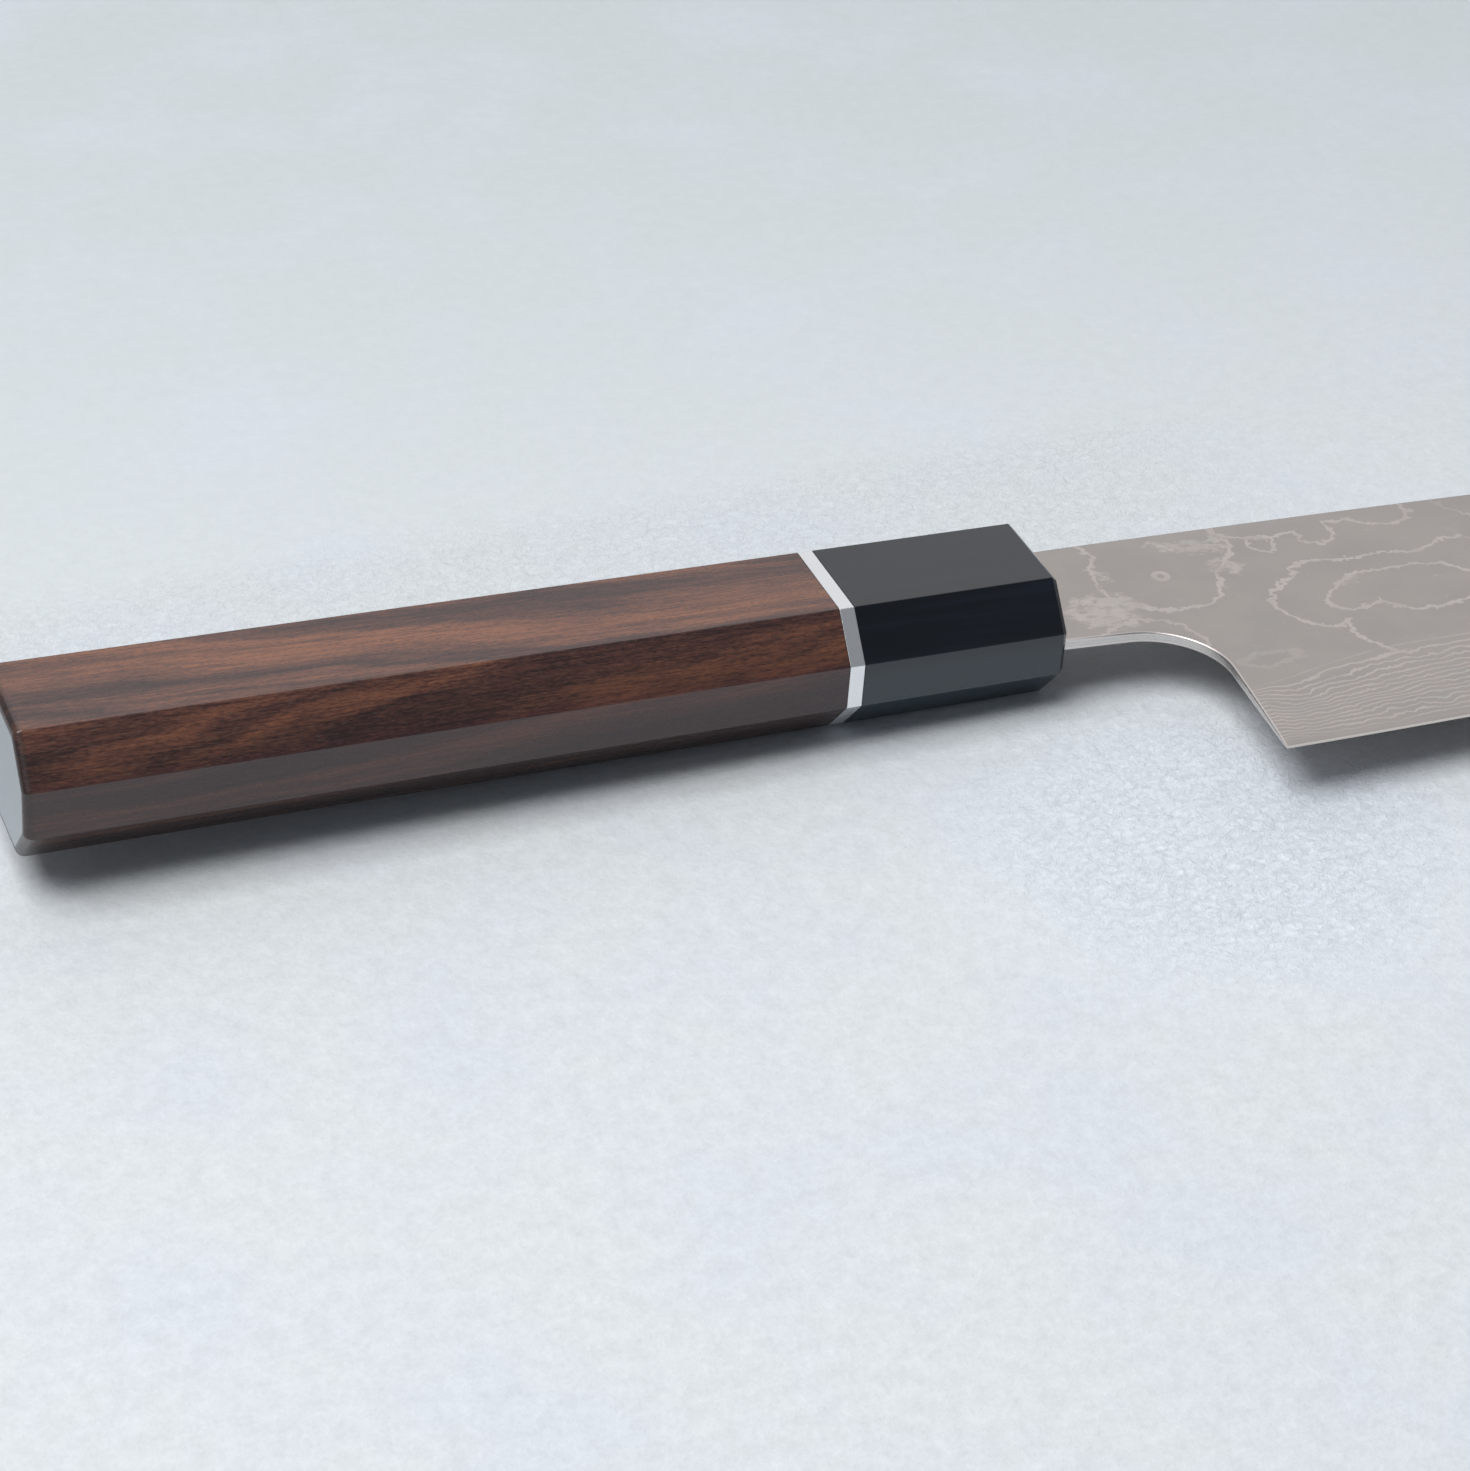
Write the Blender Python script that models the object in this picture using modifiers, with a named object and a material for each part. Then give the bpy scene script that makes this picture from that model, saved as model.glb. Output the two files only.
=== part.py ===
"""Gyuto, a Japanese chef's knife with an octagonal wa handle, lying on its side.

Metres, +Z up. Each piece is modelled in the knife's own axes: X runs from the butt of the handle to the
tip, Y points to the spine, and Z is square to the side of the blade. One empty then tips the whole knife
onto the two places that it lies on, the ferrule's lower front edge and the tip of the blade, and puts the
origin under the middle of its box.
"""

import math

import bmesh
import bpy
from mathutils import Vector

# Handle: the rosewood body, the metal ring and the ferrule, in line from the butt
BODY_LENGTH = 0.1009
RING_THICKNESS = 0.0019
FERRULE_LENGTH = 0.0271
GLUE_LINE = 0.00005

# The tapered octagon: height runs along Y, thickness along Z, and each corner is cut off by a bevel
BUTT_HEIGHT = 0.0241
BUTT_THICKNESS = 0.0173
BUTT_BEVEL_HEIGHT = 0.0048
BUTT_BEVEL_THICKNESS = 0.0055
MOUTH_HEIGHT = 0.0228
MOUTH_THICKNESS = 0.0165
MOUTH_BEVEL_HEIGHT = 0.0047
MOUTH_BEVEL_THICKNESS = 0.0054
RIDGE_RADIUS = 0.00025
BUTT_CHAMFER_DEPTH = 0.0012
BUTT_CHAMFER_INSET = 0.0010
BUTT_PLATE_THICKNESS = 0.0010
BUTT_PLATE_RIM = 0.00015
FERRULE_CHAMFER = 0.0007

# Inside the handle: a slotted dowel holds the three together and carries the tang in adhesive
DOWEL_DIAMETER = 0.0125
DOWEL_CHAMFER = 0.0006
DOWEL_HEEL = 0.0060
SEAT_CLEARANCE = 0.0003
ADHESIVE_WALL = 0.0005
ADHESIVE_TAIL = 0.0020
FERRULE_WALL = 0.0040

# Blade outline, measured from the ferrule's front face and from the handle's centre line
SHOULDER_GAP = 0.0003
SPINE_AT_MOUTH = 0.0108
SPINE_SLOPE = 0.011
SPINE_DROP = 0.0192
SPINE_DROP_POWER = 3.0
NECK_UNDERSIDE = 0.0095
NECK_SLOPE = 0.080
CHOIL_AHEAD = 0.01825
CHOIL_RADIUS = 0.0097
HEEL_AHEAD = 0.0168
HEEL_DROP = 0.0380
EDGE_LENGTH = 0.2100
EDGE_SLOPE = 0.010
EDGE_CURVE = 0.25
BELLY_RISE = 0.0140
BELLY_POWER = 6.0
TIP_BLUNT = 0.0003

# Tang, inside the handle
TANG_LENGTH = 0.0880
TANG_HEIGHT_MOUTH = 0.0084
TANG_HEIGHT_END = 0.0056
TANG_END_RADIUS = 0.0022

# Thickness of half the blade: each side is one plane through three places, with a convex bevel below it
HALF_AT_SPINE = 0.00085
HALF_AT_HEEL = 0.00052
HALF_AT_TIP = 0.00015
BEVEL_HEIGHT = 0.0160
BEVEL_CONVEXITY = 0.6
BEVEL_STATIONS = (0.0225, 0.18, 0.52, 1.0)
CORE_SHARE = 0.36
WELD_LINE = 0.00001
EASED_SPINE = 0.00022

# How finely curves are cut
RIDGE_STEPS = 2
BLADE_STATIONS = 28
CHOIL_STEPS = 14
DOWEL_SIDES = 32

# The knife balances this far ahead of the ferrule, so it lies on what is lowest either side of that
BALANCE_AHEAD = 0.010

# Points of a curve's caps and sides closer than this are one point
CAP_WELD = 0.000001

RING_START = BODY_LENGTH + GLUE_LINE
FERRULE_START = RING_START + RING_THICKNESS + GLUE_LINE
MOUTH = FERRULE_START + FERRULE_LENGTH
SHOULDER = MOUTH + SHOULDER_GAP
HEEL = MOUTH + HEEL_AHEAD
TIP = HEEL + EDGE_LENGTH
TANG_END = MOUTH - TANG_LENGTH
DOWEL_FRONT = MOUTH - FERRULE_WALL - SEAT_CLEARANCE
ADHESIVE_END = TANG_END - SEAT_CLEARANCE - ADHESIVE_TAIL
SLOT_END = ADHESIVE_END - SEAT_CLEARANCE
DOWEL_END = SLOT_END - DOWEL_HEEL
BORE_END = DOWEL_END - SEAT_CLEARANCE
BORE_RADIUS = DOWEL_DIAMETER / 2 + SEAT_CLEARANCE

for old in list(bpy.data.objects):
    bpy.data.objects.remove(old, do_unlink=True)
scene_collection = bpy.context.scene.collection
knife = bpy.data.collections.new("gyuto_knife")
cutters = bpy.data.collections.new("cutters")
for collection in (knife, cutters):
    scene_collection.children.link(collection)
rest_attitude = bpy.data.objects.new("rest_attitude", None)
rest_attitude.empty_display_size = 0.02
knife.objects.link(rest_attitude)


def finish(name, color, roughness, metallic):
    """A plain material for one piece."""
    material = bpy.data.materials.new(name)
    material.use_nodes = True
    shader = material.node_tree.nodes["Principled BSDF"]
    shader.inputs["Base Color"].default_value = (*color, 1)
    shader.inputs["Roughness"].default_value = roughness
    shader.inputs["Metallic"].default_value = metallic
    return material


def piece(obj, material):
    """Puts an object in the knife's collection, under the empty that lays the knife down."""
    for collection in list(obj.users_collection):
        collection.objects.unlink(obj)
    knife.objects.link(obj)
    obj.data.materials.append(material)
    obj.parent = rest_attitude
    return obj


def cutter(obj):
    """Keeps an object as a Boolean's tool only."""
    for collection in list(obj.users_collection):
        collection.objects.unlink(obj)
    cutters.objects.link(obj)
    obj.parent = rest_attitude
    obj.hide_render = True
    obj.display_type = "WIRE"
    return obj


def cut(obj, tool):
    """Cuts one solid out of another."""
    modifier = obj.modifiers.new(f"cut_{tool.name}", "BOOLEAN")
    modifier.operation = "DIFFERENCE"
    modifier.solver = "EXACT"
    modifier.object = tool


def loft(name, loops):
    """A closed solid through loops of equally many points, with a flat cap at each end."""
    mesh = bpy.data.meshes.new(name)
    shape = bmesh.new()
    rings = [[shape.verts.new(point) for point in loop] for loop in loops]
    for lower, upper in zip(rings, rings[1:]):
        for i, point in enumerate(lower):
            after = (i + 1) % len(lower)
            shape.faces.new((point, lower[after], upper[after], upper[i]))
    shape.faces.new(rings[0][::-1])
    shape.faces.new(rings[-1])
    bmesh.ops.recalc_face_normals(shape, faces=shape.faces)
    shape.to_mesh(mesh)
    shape.free()
    return bpy.data.objects.new(name, mesh)


def box(name, low, high):
    """A box between two corners."""
    low, high = Vector(low), Vector(high)
    bpy.ops.mesh.primitive_cube_add(size=1, location=(low + high) / 2)
    obj = bpy.context.object
    obj.name = obj.data.name = name
    obj.scale = high - low
    bpy.ops.object.transform_apply(location=False, rotation=False, scale=True)
    return obj


def rod(name, radius, start, end):
    """A cylinder on the handle's centre line."""
    bpy.ops.mesh.primitive_cylinder_add(
        vertices=DOWEL_SIDES,
        radius=radius,
        depth=end - start,
        location=((start + end) / 2, 0, 0),
        rotation=(0, math.pi / 2, 0),
    )
    obj = bpy.context.object
    obj.name = obj.data.name = name
    return obj


def rounded(corners, radius, steps):
    """A closed convex outline whose corners are replaced by arcs."""
    points = []
    for i, corner in enumerate(corners):
        back = (corners[i - 1] - corner).normalized()
        ahead = (corners[(i + 1) % len(corners)] - corner).normalized()
        half = back.angle(ahead) / 2
        centre = corner + (back + ahead).normalized() * radius / math.sin(half)
        first = corner + back * radius / math.tan(half) - centre
        last = corner + ahead * radius / math.tan(half) - centre
        for step in range(steps + 1):
            spoke = first.lerp(last, step / steps).normalized() * radius
            points.append(centre + spoke)
    return points


def handle_section(x, inset=0.0):
    """The octagon at a station of the handle, its eight sides moved in by the inset."""
    share = x / MOUTH
    half_height = (BUTT_HEIGHT + (MOUTH_HEIGHT - BUTT_HEIGHT) * share) / 2
    half_thickness = (BUTT_THICKNESS + (MOUTH_THICKNESS - BUTT_THICKNESS) * share) / 2
    cut_y = BUTT_BEVEL_HEIGHT + (MOUTH_BEVEL_HEIGHT - BUTT_BEVEL_HEIGHT) * share
    cut_z = BUTT_BEVEL_THICKNESS + (MOUTH_BEVEL_THICKNESS - BUTT_BEVEL_THICKNESS) * share
    normal = Vector((cut_z, cut_y)).normalized()
    reach = normal.dot(Vector((half_height, half_thickness - cut_z))) - inset
    side = half_height - inset
    top = half_thickness - inset
    high = (reach - normal.x * side) / normal.y
    wide = (reach - normal.y * top) / normal.x
    quarter = [(side, high), (wide, top)]
    corners = quarter + [(-y, z) for y, z in reversed(quarter)]
    corners += [(-y, -z) for y, z in quarter] + [(y, -z) for y, z in reversed(quarter)]
    outline = rounded([Vector(corner) for corner in corners], RIDGE_RADIUS, RIDGE_STEPS)
    return [Vector((x, point.x, point.y)) for point in outline]


def prism(name, outline, half_depth):
    """A flat outline in the knife's XY plane, thickened evenly to both sides."""
    curve = bpy.data.curves.new(name, "CURVE")
    curve.dimensions = "2D"
    curve.fill_mode = "BOTH"
    curve.extrude = half_depth
    spline = curve.splines.new("POLY")
    spline.points.add(len(outline) - 1)
    for point, (x, y) in zip(spline.points, outline):
        point.co = (x, y, 0, 1)
    spline.use_cyclic_u = True
    drawn = bpy.data.objects.new(name, curve)
    scene_collection.objects.link(drawn)
    graph = bpy.context.evaluated_depsgraph_get()
    mesh = bpy.data.meshes.new_from_object(drawn.evaluated_get(graph))
    shape = bmesh.new()
    shape.from_mesh(mesh)
    bmesh.ops.remove_doubles(shape, verts=shape.verts, dist=CAP_WELD)
    bmesh.ops.recalc_face_normals(shape, faces=shape.faces)
    shape.to_mesh(mesh)
    shape.free()
    solid = bpy.data.objects.new(name, mesh)
    solid.matrix_world = drawn.matrix_world
    bpy.data.objects.remove(drawn, do_unlink=True)
    scene_collection.objects.link(solid)
    return solid


def spine_height(x):
    """Y of the spine at a station."""
    share = max(x - MOUTH, 0) / (TIP - MOUTH)
    return SPINE_AT_MOUTH - SPINE_SLOPE * (x - MOUTH) - SPINE_DROP * share**SPINE_DROP_POWER


def edge_height(x):
    """Y of the cutting edge at a station, level behind the heel."""
    ahead = max(x - HEEL, 0)
    flat = EDGE_SLOPE * ahead + EDGE_CURVE * ahead**2
    belly = BELLY_RISE * (ahead / EDGE_LENGTH) ** BELLY_POWER
    return flat + belly - HEEL_DROP


def tip_station():
    """X where the edge meets the spine."""
    low, high = HEEL, TIP + EDGE_LENGTH
    for _ in range(60):
        middle = (low + high) / 2
        if edge_height(middle) < spine_height(middle):
            low = middle
        else:
            high = middle
    return low


BLADE_TIP = tip_station()


def half_blade(x, y):
    """Half thickness of the blade's flat side, a plane ahead of the heel and level in X behind it."""
    spine = spine_height(HEEL)
    along_y = (HALF_AT_SPINE - HALF_AT_HEEL) / (spine + HEEL_DROP)
    drop = HALF_AT_TIP - HALF_AT_SPINE - along_y * (spine_height(BLADE_TIP) - spine)
    along_x = drop / (BLADE_TIP - HEEL)
    return HALF_AT_SPINE + along_x * max(x - HEEL, 0) + along_y * (y - spine)


def ground_side(x):
    """(y, half blade, half core) up one side at a station: sharpened edge, convex bevel, spine."""
    bottom, top = edge_height(x), spine_height(x)
    bevel = (top - bottom) * BEVEL_HEIGHT / (spine_height(HEEL) + HEEL_DROP)
    side = []
    for share in BEVEL_STATIONS:
        y = bottom + bevel * share
        half = half_blade(x, y) * (1 - (1 - share) ** 2) ** BEVEL_CONVEXITY
        side.append((y, half, half * CORE_SHARE if side else half))
    half = half_blade(x, top)
    side.append((top, half, half * CORE_SHARE))
    return side


def core_section(x):
    """The core's outline across the blade, bare below the cladding."""
    side = [(y, core) for y, _, core in ground_side(x)]
    outline = [(edge_height(x), 0)] + side + [(y, -z) for y, z in reversed(side)]
    return [Vector((x, y, z)) for y, z in outline]


def cladding_section(x, sign):
    """One cladding's outline across the blade, from the feather edge above the sharpened edge."""
    bare, *clad = ground_side(x)
    first = clad[0]
    rise = (first[1] - bare[1]) - (first[2] - bare[2])
    share = WELD_LINE / rise
    feather = [bare[i] + share * (first[i] - bare[i]) for i in range(2)]
    top, half, core = clad[-1]
    eased = min(EASED_SPINE, (half - core - WELD_LINE) / 2)
    outer = [feather] + [(y, z) for y, z, _ in clad[:-1]]
    outer += [(top - eased, half), (top, half - eased)]
    inner = [(y, z + WELD_LINE) for y, _, z in reversed(clad)]
    return [Vector((x, y, sign * z)) for y, z in outer + inner]


def blade_stations():
    """X of each section, from behind the tang to the tip, closer together towards the tip."""
    stations = [TANG_END - CHOIL_RADIUS, (MOUTH + HEEL) / 2]
    for step in range(1, BLADE_STATIONS + 1):
        swing = math.sin(math.pi / 2 * step / BLADE_STATIONS)
        stations.append(HEEL + (BLADE_TIP - TIP_BLUNT - HEEL) * swing)
    return stations


def choil_outline():
    """From the ferrule along the neck's underside, round the choil and down to the heel."""
    neck_angle = math.atan(NECK_SLOPE)
    x = MOUTH + CHOIL_AHEAD - CHOIL_RADIUS
    to_neck = Vector((math.sin(neck_angle), math.cos(neck_angle))) * CHOIL_RADIUS
    y = -NECK_UNDERSIDE - NECK_SLOPE * (x + to_neck.x - MOUTH) - to_neck.y
    centre = Vector((x, y))
    to_heel = Vector((HEEL, -HEEL_DROP)) - centre
    first = math.pi / 2 - neck_angle
    last = math.atan2(to_heel.y, to_heel.x) + math.acos(CHOIL_RADIUS / to_heel.length)
    points = [Vector((SHOULDER, -NECK_UNDERSIDE - NECK_SLOPE * SHOULDER_GAP))]
    for step in range(CHOIL_STEPS + 1):
        angle = first + (last - first) * step / CHOIL_STEPS
        points.append(centre + Vector((math.cos(angle), math.sin(angle))) * CHOIL_RADIUS)
    past_heel = (Vector((HEEL, -HEEL_DROP)) - points[-1]).normalized() * CHOIL_RADIUS
    return points + [Vector((HEEL, -HEEL_DROP)) + past_heel]


def tang_outline():
    """From the upper shoulder back along the tang, round its end and forward to the lower shoulder."""
    half_mouth, half_end = TANG_HEIGHT_MOUTH / 2, TANG_HEIGHT_END / 2
    corner = TANG_END_RADIUS * (1 - math.sqrt(0.5))
    upper = [
        (SHOULDER, half_mouth),
        (TANG_END + TANG_END_RADIUS, half_end),
        (TANG_END + corner, half_end - corner),
        (TANG_END, half_end - TANG_END_RADIUS),
    ]
    return [Vector(p) for p in upper] + [Vector((x, -y)) for x, y in reversed(upper)]


def steel_cutter():
    """What is cut from every layer behind the choil and round the tang."""
    clear = TANG_END - 2 * CHOIL_RADIUS
    choil = choil_outline()
    outline = [Vector((clear, TIP)), Vector((SHOULDER, TIP))] + tang_outline() + choil
    outline.append(Vector((clear, choil[-1].y)))
    return cutter(prism("choil_and_tang_cutter", outline, CHOIL_RADIUS))


behind_choil = steel_cutter()


def make_core_steel():
    """The hard cutting core, bare at the sharpened edge and running the length of the tang."""
    core = loft("core_steel", [core_section(x) for x in blade_stations()])
    piece(core, finish("core_steel", (0.62, 0.61, 0.59), 0.22, 1))
    cut(core, behind_choil)
    return core


def make_cladding(name, sign):
    """One damascus side, forge welded to the core, with a flat face above a convex bevel."""
    cladding = loft(name, [cladding_section(x, sign) for x in blade_stations()])
    piece(cladding, finish(name, (0.40, 0.37, 0.34), 0.35, 1))
    cut(cladding, behind_choil)
    return cladding


def butt_plate_outline(x, grown=0.0):
    """The octagon of the butt's plate, inside the wood's chamfer and its narrow flat rim."""
    outline = handle_section(0, BUTT_CHAMFER_INSET + BUTT_PLATE_RIM - grown)
    return [Vector((x, point.y, point.z)) for point in outline]


def make_butt_plate():
    """The thin metal plate let into the butt, flush with its end."""
    stations = [butt_plate_outline(0), butt_plate_outline(BUTT_PLATE_THICKNESS)]
    return piece(loft("butt_plate", stations), finish("butt_plate", (0.6, 0.6, 0.59), 0.3, 1))


def make_handle_body():
    """Octagonal rosewood, chamfered round the butt, recessed for its plate and bored for the dowel."""
    halfway = BUTT_CHAMFER_DEPTH / 3
    stations = [
        handle_section(0, BUTT_CHAMFER_INSET),
        handle_section(halfway, BUTT_CHAMFER_INSET / 3),
        handle_section(BUTT_CHAMFER_DEPTH),
        handle_section(BODY_LENGTH),
    ]
    body = piece(loft("handle_body", stations), finish("rosewood", (0.085, 0.03, 0.018), 0.4, 0))
    reach = BODY_LENGTH + BORE_RADIUS
    cut(body, cutter(rod("body_bore", BORE_RADIUS, BORE_END, reach)))
    floor = BUTT_PLATE_THICKNESS + GLUE_LINE
    recess = [butt_plate_outline(-floor, GLUE_LINE), butt_plate_outline(floor, GLUE_LINE)]
    cut(body, cutter(loft("butt_recess", recess)))
    return body


def make_spacer_ring():
    """The thin metal octagon between the wood and the ferrule, with a hole for the dowel."""
    stations = [handle_section(RING_START), handle_section(RING_START + RING_THICKNESS)]
    ring = piece(loft("spacer_ring", stations), finish("nickel_silver", (0.6, 0.6, 0.59), 0.3, 1))
    reach = RING_THICKNESS + BORE_RADIUS
    cut(ring, cutter(rod("ring_bore", BORE_RADIUS, RING_START - reach, RING_START + reach)))
    return ring


def tang_half_width():
    """Half of the tang's thickness at its upper edge, where it is thickest."""
    return half_blade(MOUTH, TANG_HEIGHT_MOUTH / 2)


def make_ferrule():
    """The black horn collar, bored from behind and slotted through its front wall for the tang."""
    stations = [
        handle_section(FERRULE_START),
        handle_section(MOUTH - FERRULE_CHAMFER),
        handle_section(MOUTH, FERRULE_CHAMFER),
    ]
    ferrule = piece(loft("ferrule", stations), finish("black_horn", (0.012, 0.013, 0.015), 0.2, 0))
    bore_end = MOUTH - FERRULE_WALL
    cut(ferrule, cutter(rod("ferrule_bore", BORE_RADIUS, FERRULE_START - BORE_RADIUS, bore_end)))
    half_slot = TANG_HEIGHT_MOUTH / 2 + SEAT_CLEARANCE
    half_width = tang_half_width() + SEAT_CLEARANCE
    low = (bore_end - FERRULE_WALL, -half_slot, -half_width)
    high = (MOUTH + FERRULE_WALL, half_slot, half_width)
    cut(ferrule, cutter(box("ferrule_slot", low, high)))
    return ferrule


def tang_sleeve(name, start, end, grown):
    """A block round the tang, grown by a clearance on its four sides."""
    half_width = tang_half_width() + grown
    loops = []
    for x in (start, end):
        share = (x - TANG_END) / TANG_LENGTH
        height = TANG_HEIGHT_END + (TANG_HEIGHT_MOUTH - TANG_HEIGHT_END) * share
        half = height / 2 + grown
        signs = ((1, 1), (-1, 1), (-1, -1), (1, -1))
        loops.append([Vector((x, sy * half, sz * half_width)) for sy, sz in signs])
    return loft(name, loops)


def make_handle_dowel():
    """The wooden rod that joins body, ring and ferrule, slotted from the front for the tang."""
    dowel = piece(
        rod("handle_dowel", DOWEL_DIAMETER / 2, DOWEL_END, DOWEL_FRONT),
        finish("dowel_wood", (0.5, 0.34, 0.18), 0.7, 0),
    )
    bevel = dowel.modifiers.new("eased_ends", "BEVEL")
    bevel.width = DOWEL_CHAMFER
    bevel.segments = 1
    grown = 2 * SEAT_CLEARANCE + ADHESIVE_WALL
    cut(dowel, cutter(tang_sleeve("dowel_slot", SLOT_END, MOUTH, grown)))
    return dowel


def make_tang_adhesive():
    """The adhesive that fills the dowel's slot round the tang and behind its end."""
    grown = SEAT_CLEARANCE + ADHESIVE_WALL
    adhesive = piece(
        tang_sleeve("tang_adhesive", ADHESIVE_END, DOWEL_FRONT, grown),
        finish("adhesive", (0.55, 0.42, 0.2), 0.45, 0),
    )
    pocket_end = TANG_END - SEAT_CLEARANCE
    cut(adhesive, cutter(tang_sleeve("tang_pocket", pocket_end, MOUTH, SEAT_CLEARANCE)))
    return adhesive


def shade_smooth(obj):
    """Smooth shading across the small steps of an arc, sharp across the rest."""
    obj.data.shade_smooth()
    obj.data.set_sharp_from_angle(angle=math.radians(30))


def lay_down(pieces):
    """Tips the knife onto its two lowest places and puts the origin under the middle of its box."""
    bpy.context.view_layer.update()
    graph = bpy.context.evaluated_depsgraph_get()
    corners = []
    for obj in pieces:
        evaluated = obj.evaluated_get(graph)
        for vertex in evaluated.data.vertices:
            corners.append(evaluated.matrix_world @ vertex.co)
    lowest = []
    for x, z in sorted({(corner.x, corner.z) for corner in corners}):
        while len(lowest) > 1:
            (x0, z0), (x1, z1) = lowest[-2:]
            if (x1 - x0) * (z - z0) - (z1 - z0) * (x - x0) > 0:
                break
            lowest.pop()
        lowest.append((x, z))
    balance = MOUTH + BALANCE_AHEAD
    behind = max(point for point in lowest if point[0] <= balance)
    ahead = min(point for point in lowest if point[0] > balance)
    rest_attitude.rotation_euler.y = math.atan2(ahead[1] - behind[1], ahead[0] - behind[0])
    turned = [rest_attitude.rotation_euler.to_matrix() @ corner for corner in corners]
    low = [min(corner[axis] for corner in turned) for axis in range(3)]
    high = [max(corner[axis] for corner in turned) for axis in range(3)]
    middle = [(a + b) / 2 for a, b in zip(low, high)]
    rest_attitude.location = (-middle[0], -middle[1], -low[2])
    bpy.context.view_layer.update()


pieces = [
    make_core_steel(),
    make_cladding("damascus_right", 1),
    make_cladding("damascus_left", -1),
    make_handle_body(),
    make_butt_plate(),
    make_spacer_ring(),
    make_ferrule(),
    make_handle_dowel(),
    make_tang_adhesive(),
]
for obj in pieces:
    shade_smooth(obj)
lay_down(pieces)
print(f"The tip lies {math.degrees(rest_attitude.rotation_euler.y):.4f} degrees down.")
butt = ", ".join(f"{length * 1000:.3f}" for length in rest_attitude.location)
print(f"The middle of the butt is at {butt} mm.")
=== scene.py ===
# %% [markdown]
# # A gyuto knife, dressed
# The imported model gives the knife's pieces in metres, lying on the surface z = 0. This script makes finer
# pieces of steel, wood, horn and metal in the same places, gives every piece a finish made of nodes, and
# sets up the floor, the lights and the camera. Each step says what the piece is on the real knife and why
# it is made this way.

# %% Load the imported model
import math

import bmesh
import bpy
from mathutils import Matrix, Vector, geometry


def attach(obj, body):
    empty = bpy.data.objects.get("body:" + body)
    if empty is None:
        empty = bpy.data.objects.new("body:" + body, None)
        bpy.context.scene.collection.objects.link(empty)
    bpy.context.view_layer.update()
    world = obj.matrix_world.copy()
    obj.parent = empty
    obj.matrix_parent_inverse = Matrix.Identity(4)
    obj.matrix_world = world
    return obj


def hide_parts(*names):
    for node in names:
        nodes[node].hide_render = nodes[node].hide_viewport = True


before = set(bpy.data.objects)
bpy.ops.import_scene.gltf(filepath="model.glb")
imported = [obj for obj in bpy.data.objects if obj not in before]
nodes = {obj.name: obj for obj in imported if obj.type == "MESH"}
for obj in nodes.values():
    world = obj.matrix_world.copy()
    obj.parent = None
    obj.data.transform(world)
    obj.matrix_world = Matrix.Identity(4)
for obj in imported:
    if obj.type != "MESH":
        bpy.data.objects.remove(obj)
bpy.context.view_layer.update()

scene = bpy.context.scene
print("CAD nodes:", ", ".join(sorted(nodes)))

# %% [markdown]
# ## The knife's own axes
# A knife is easy to describe along its own axes: X from the butt to the tip, Y from the edge to the spine,
# Z square to the side of the blade, with the origin in the middle of the butt. But this knife lies tipped
# by about two degrees. The tilt could be typed in, but then it could drift from the model, so it is read
# from the flat end of the butt's plate. One matrix then lays everything drawn in millimetres in the frame.

# %% Read the tilt from the butt's plate
MM = 0.001
FACES_BACK = -0.99

plate = nodes["butt_plate"].data
butt_normal = Vector((0, 0, 0))
butt_points = []
for face in plate.polygons:
    if face.normal.x < FACES_BACK:
        butt_normal += face.normal * face.area
        butt_points += [plate.vertices[i].co for i in face.vertices]
butt_normal.normalize()
tilt = math.asin(butt_normal.z)
lay_down = Matrix.Rotation(tilt, 4, "Y")
flat_points = [lay_down.inverted() @ point for point in butt_points]
low = [min(point[axis] for point in flat_points) for axis in range(3)]
high = [max(point[axis] for point in flat_points) for axis in range(3)]
butt = lay_down @ ((Vector(low) + Vector(high)) / 2)
to_frame = Matrix.Translation(butt) @ lay_down @ Matrix.Scale(MM, 4)
print(f"The knife is tipped by {math.degrees(tilt):.4f} degrees; its butt is at {tuple(butt)}.")

# %% [markdown]
# ## Sizes
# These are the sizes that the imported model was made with, in millimetres.

# %% Sizes of the handle
BODY_LENGTH = 100.9
RING_THICKNESS = 1.9
FERRULE_LENGTH = 27.1
GLUE_LINE = 0.05
RING_START = BODY_LENGTH + GLUE_LINE
FERRULE_START = RING_START + RING_THICKNESS + GLUE_LINE
MOUTH = FERRULE_START + FERRULE_LENGTH
OCTAGON = {
    "Butt Height": 24.1,
    "Butt Thickness": 17.3,
    "Butt Bevel Height": 4.8,
    "Butt Bevel Thickness": 5.5,
    "Mouth Height": 22.8,
    "Mouth Thickness": 16.5,
    "Mouth Bevel Height": 4.7,
    "Mouth Bevel Thickness": 5.4,
    "Handle Length": MOUTH,
    "Ridge Radius": 0.25,
}
BUTT_CHAMFER_DEPTH = 1.2
BUTT_CHAMFER_INSET = 1.0
PLATE_THICKNESS = 1.0
PLATE_RIM = 0.15
FERRULE_CHAMFER = 0.7
FERRULE_WALL = 4.0
BORE_RADIUS = 6.55
BORE_END = 32.8
print(f"The handle is {MOUTH:.1f} mm long.")

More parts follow.
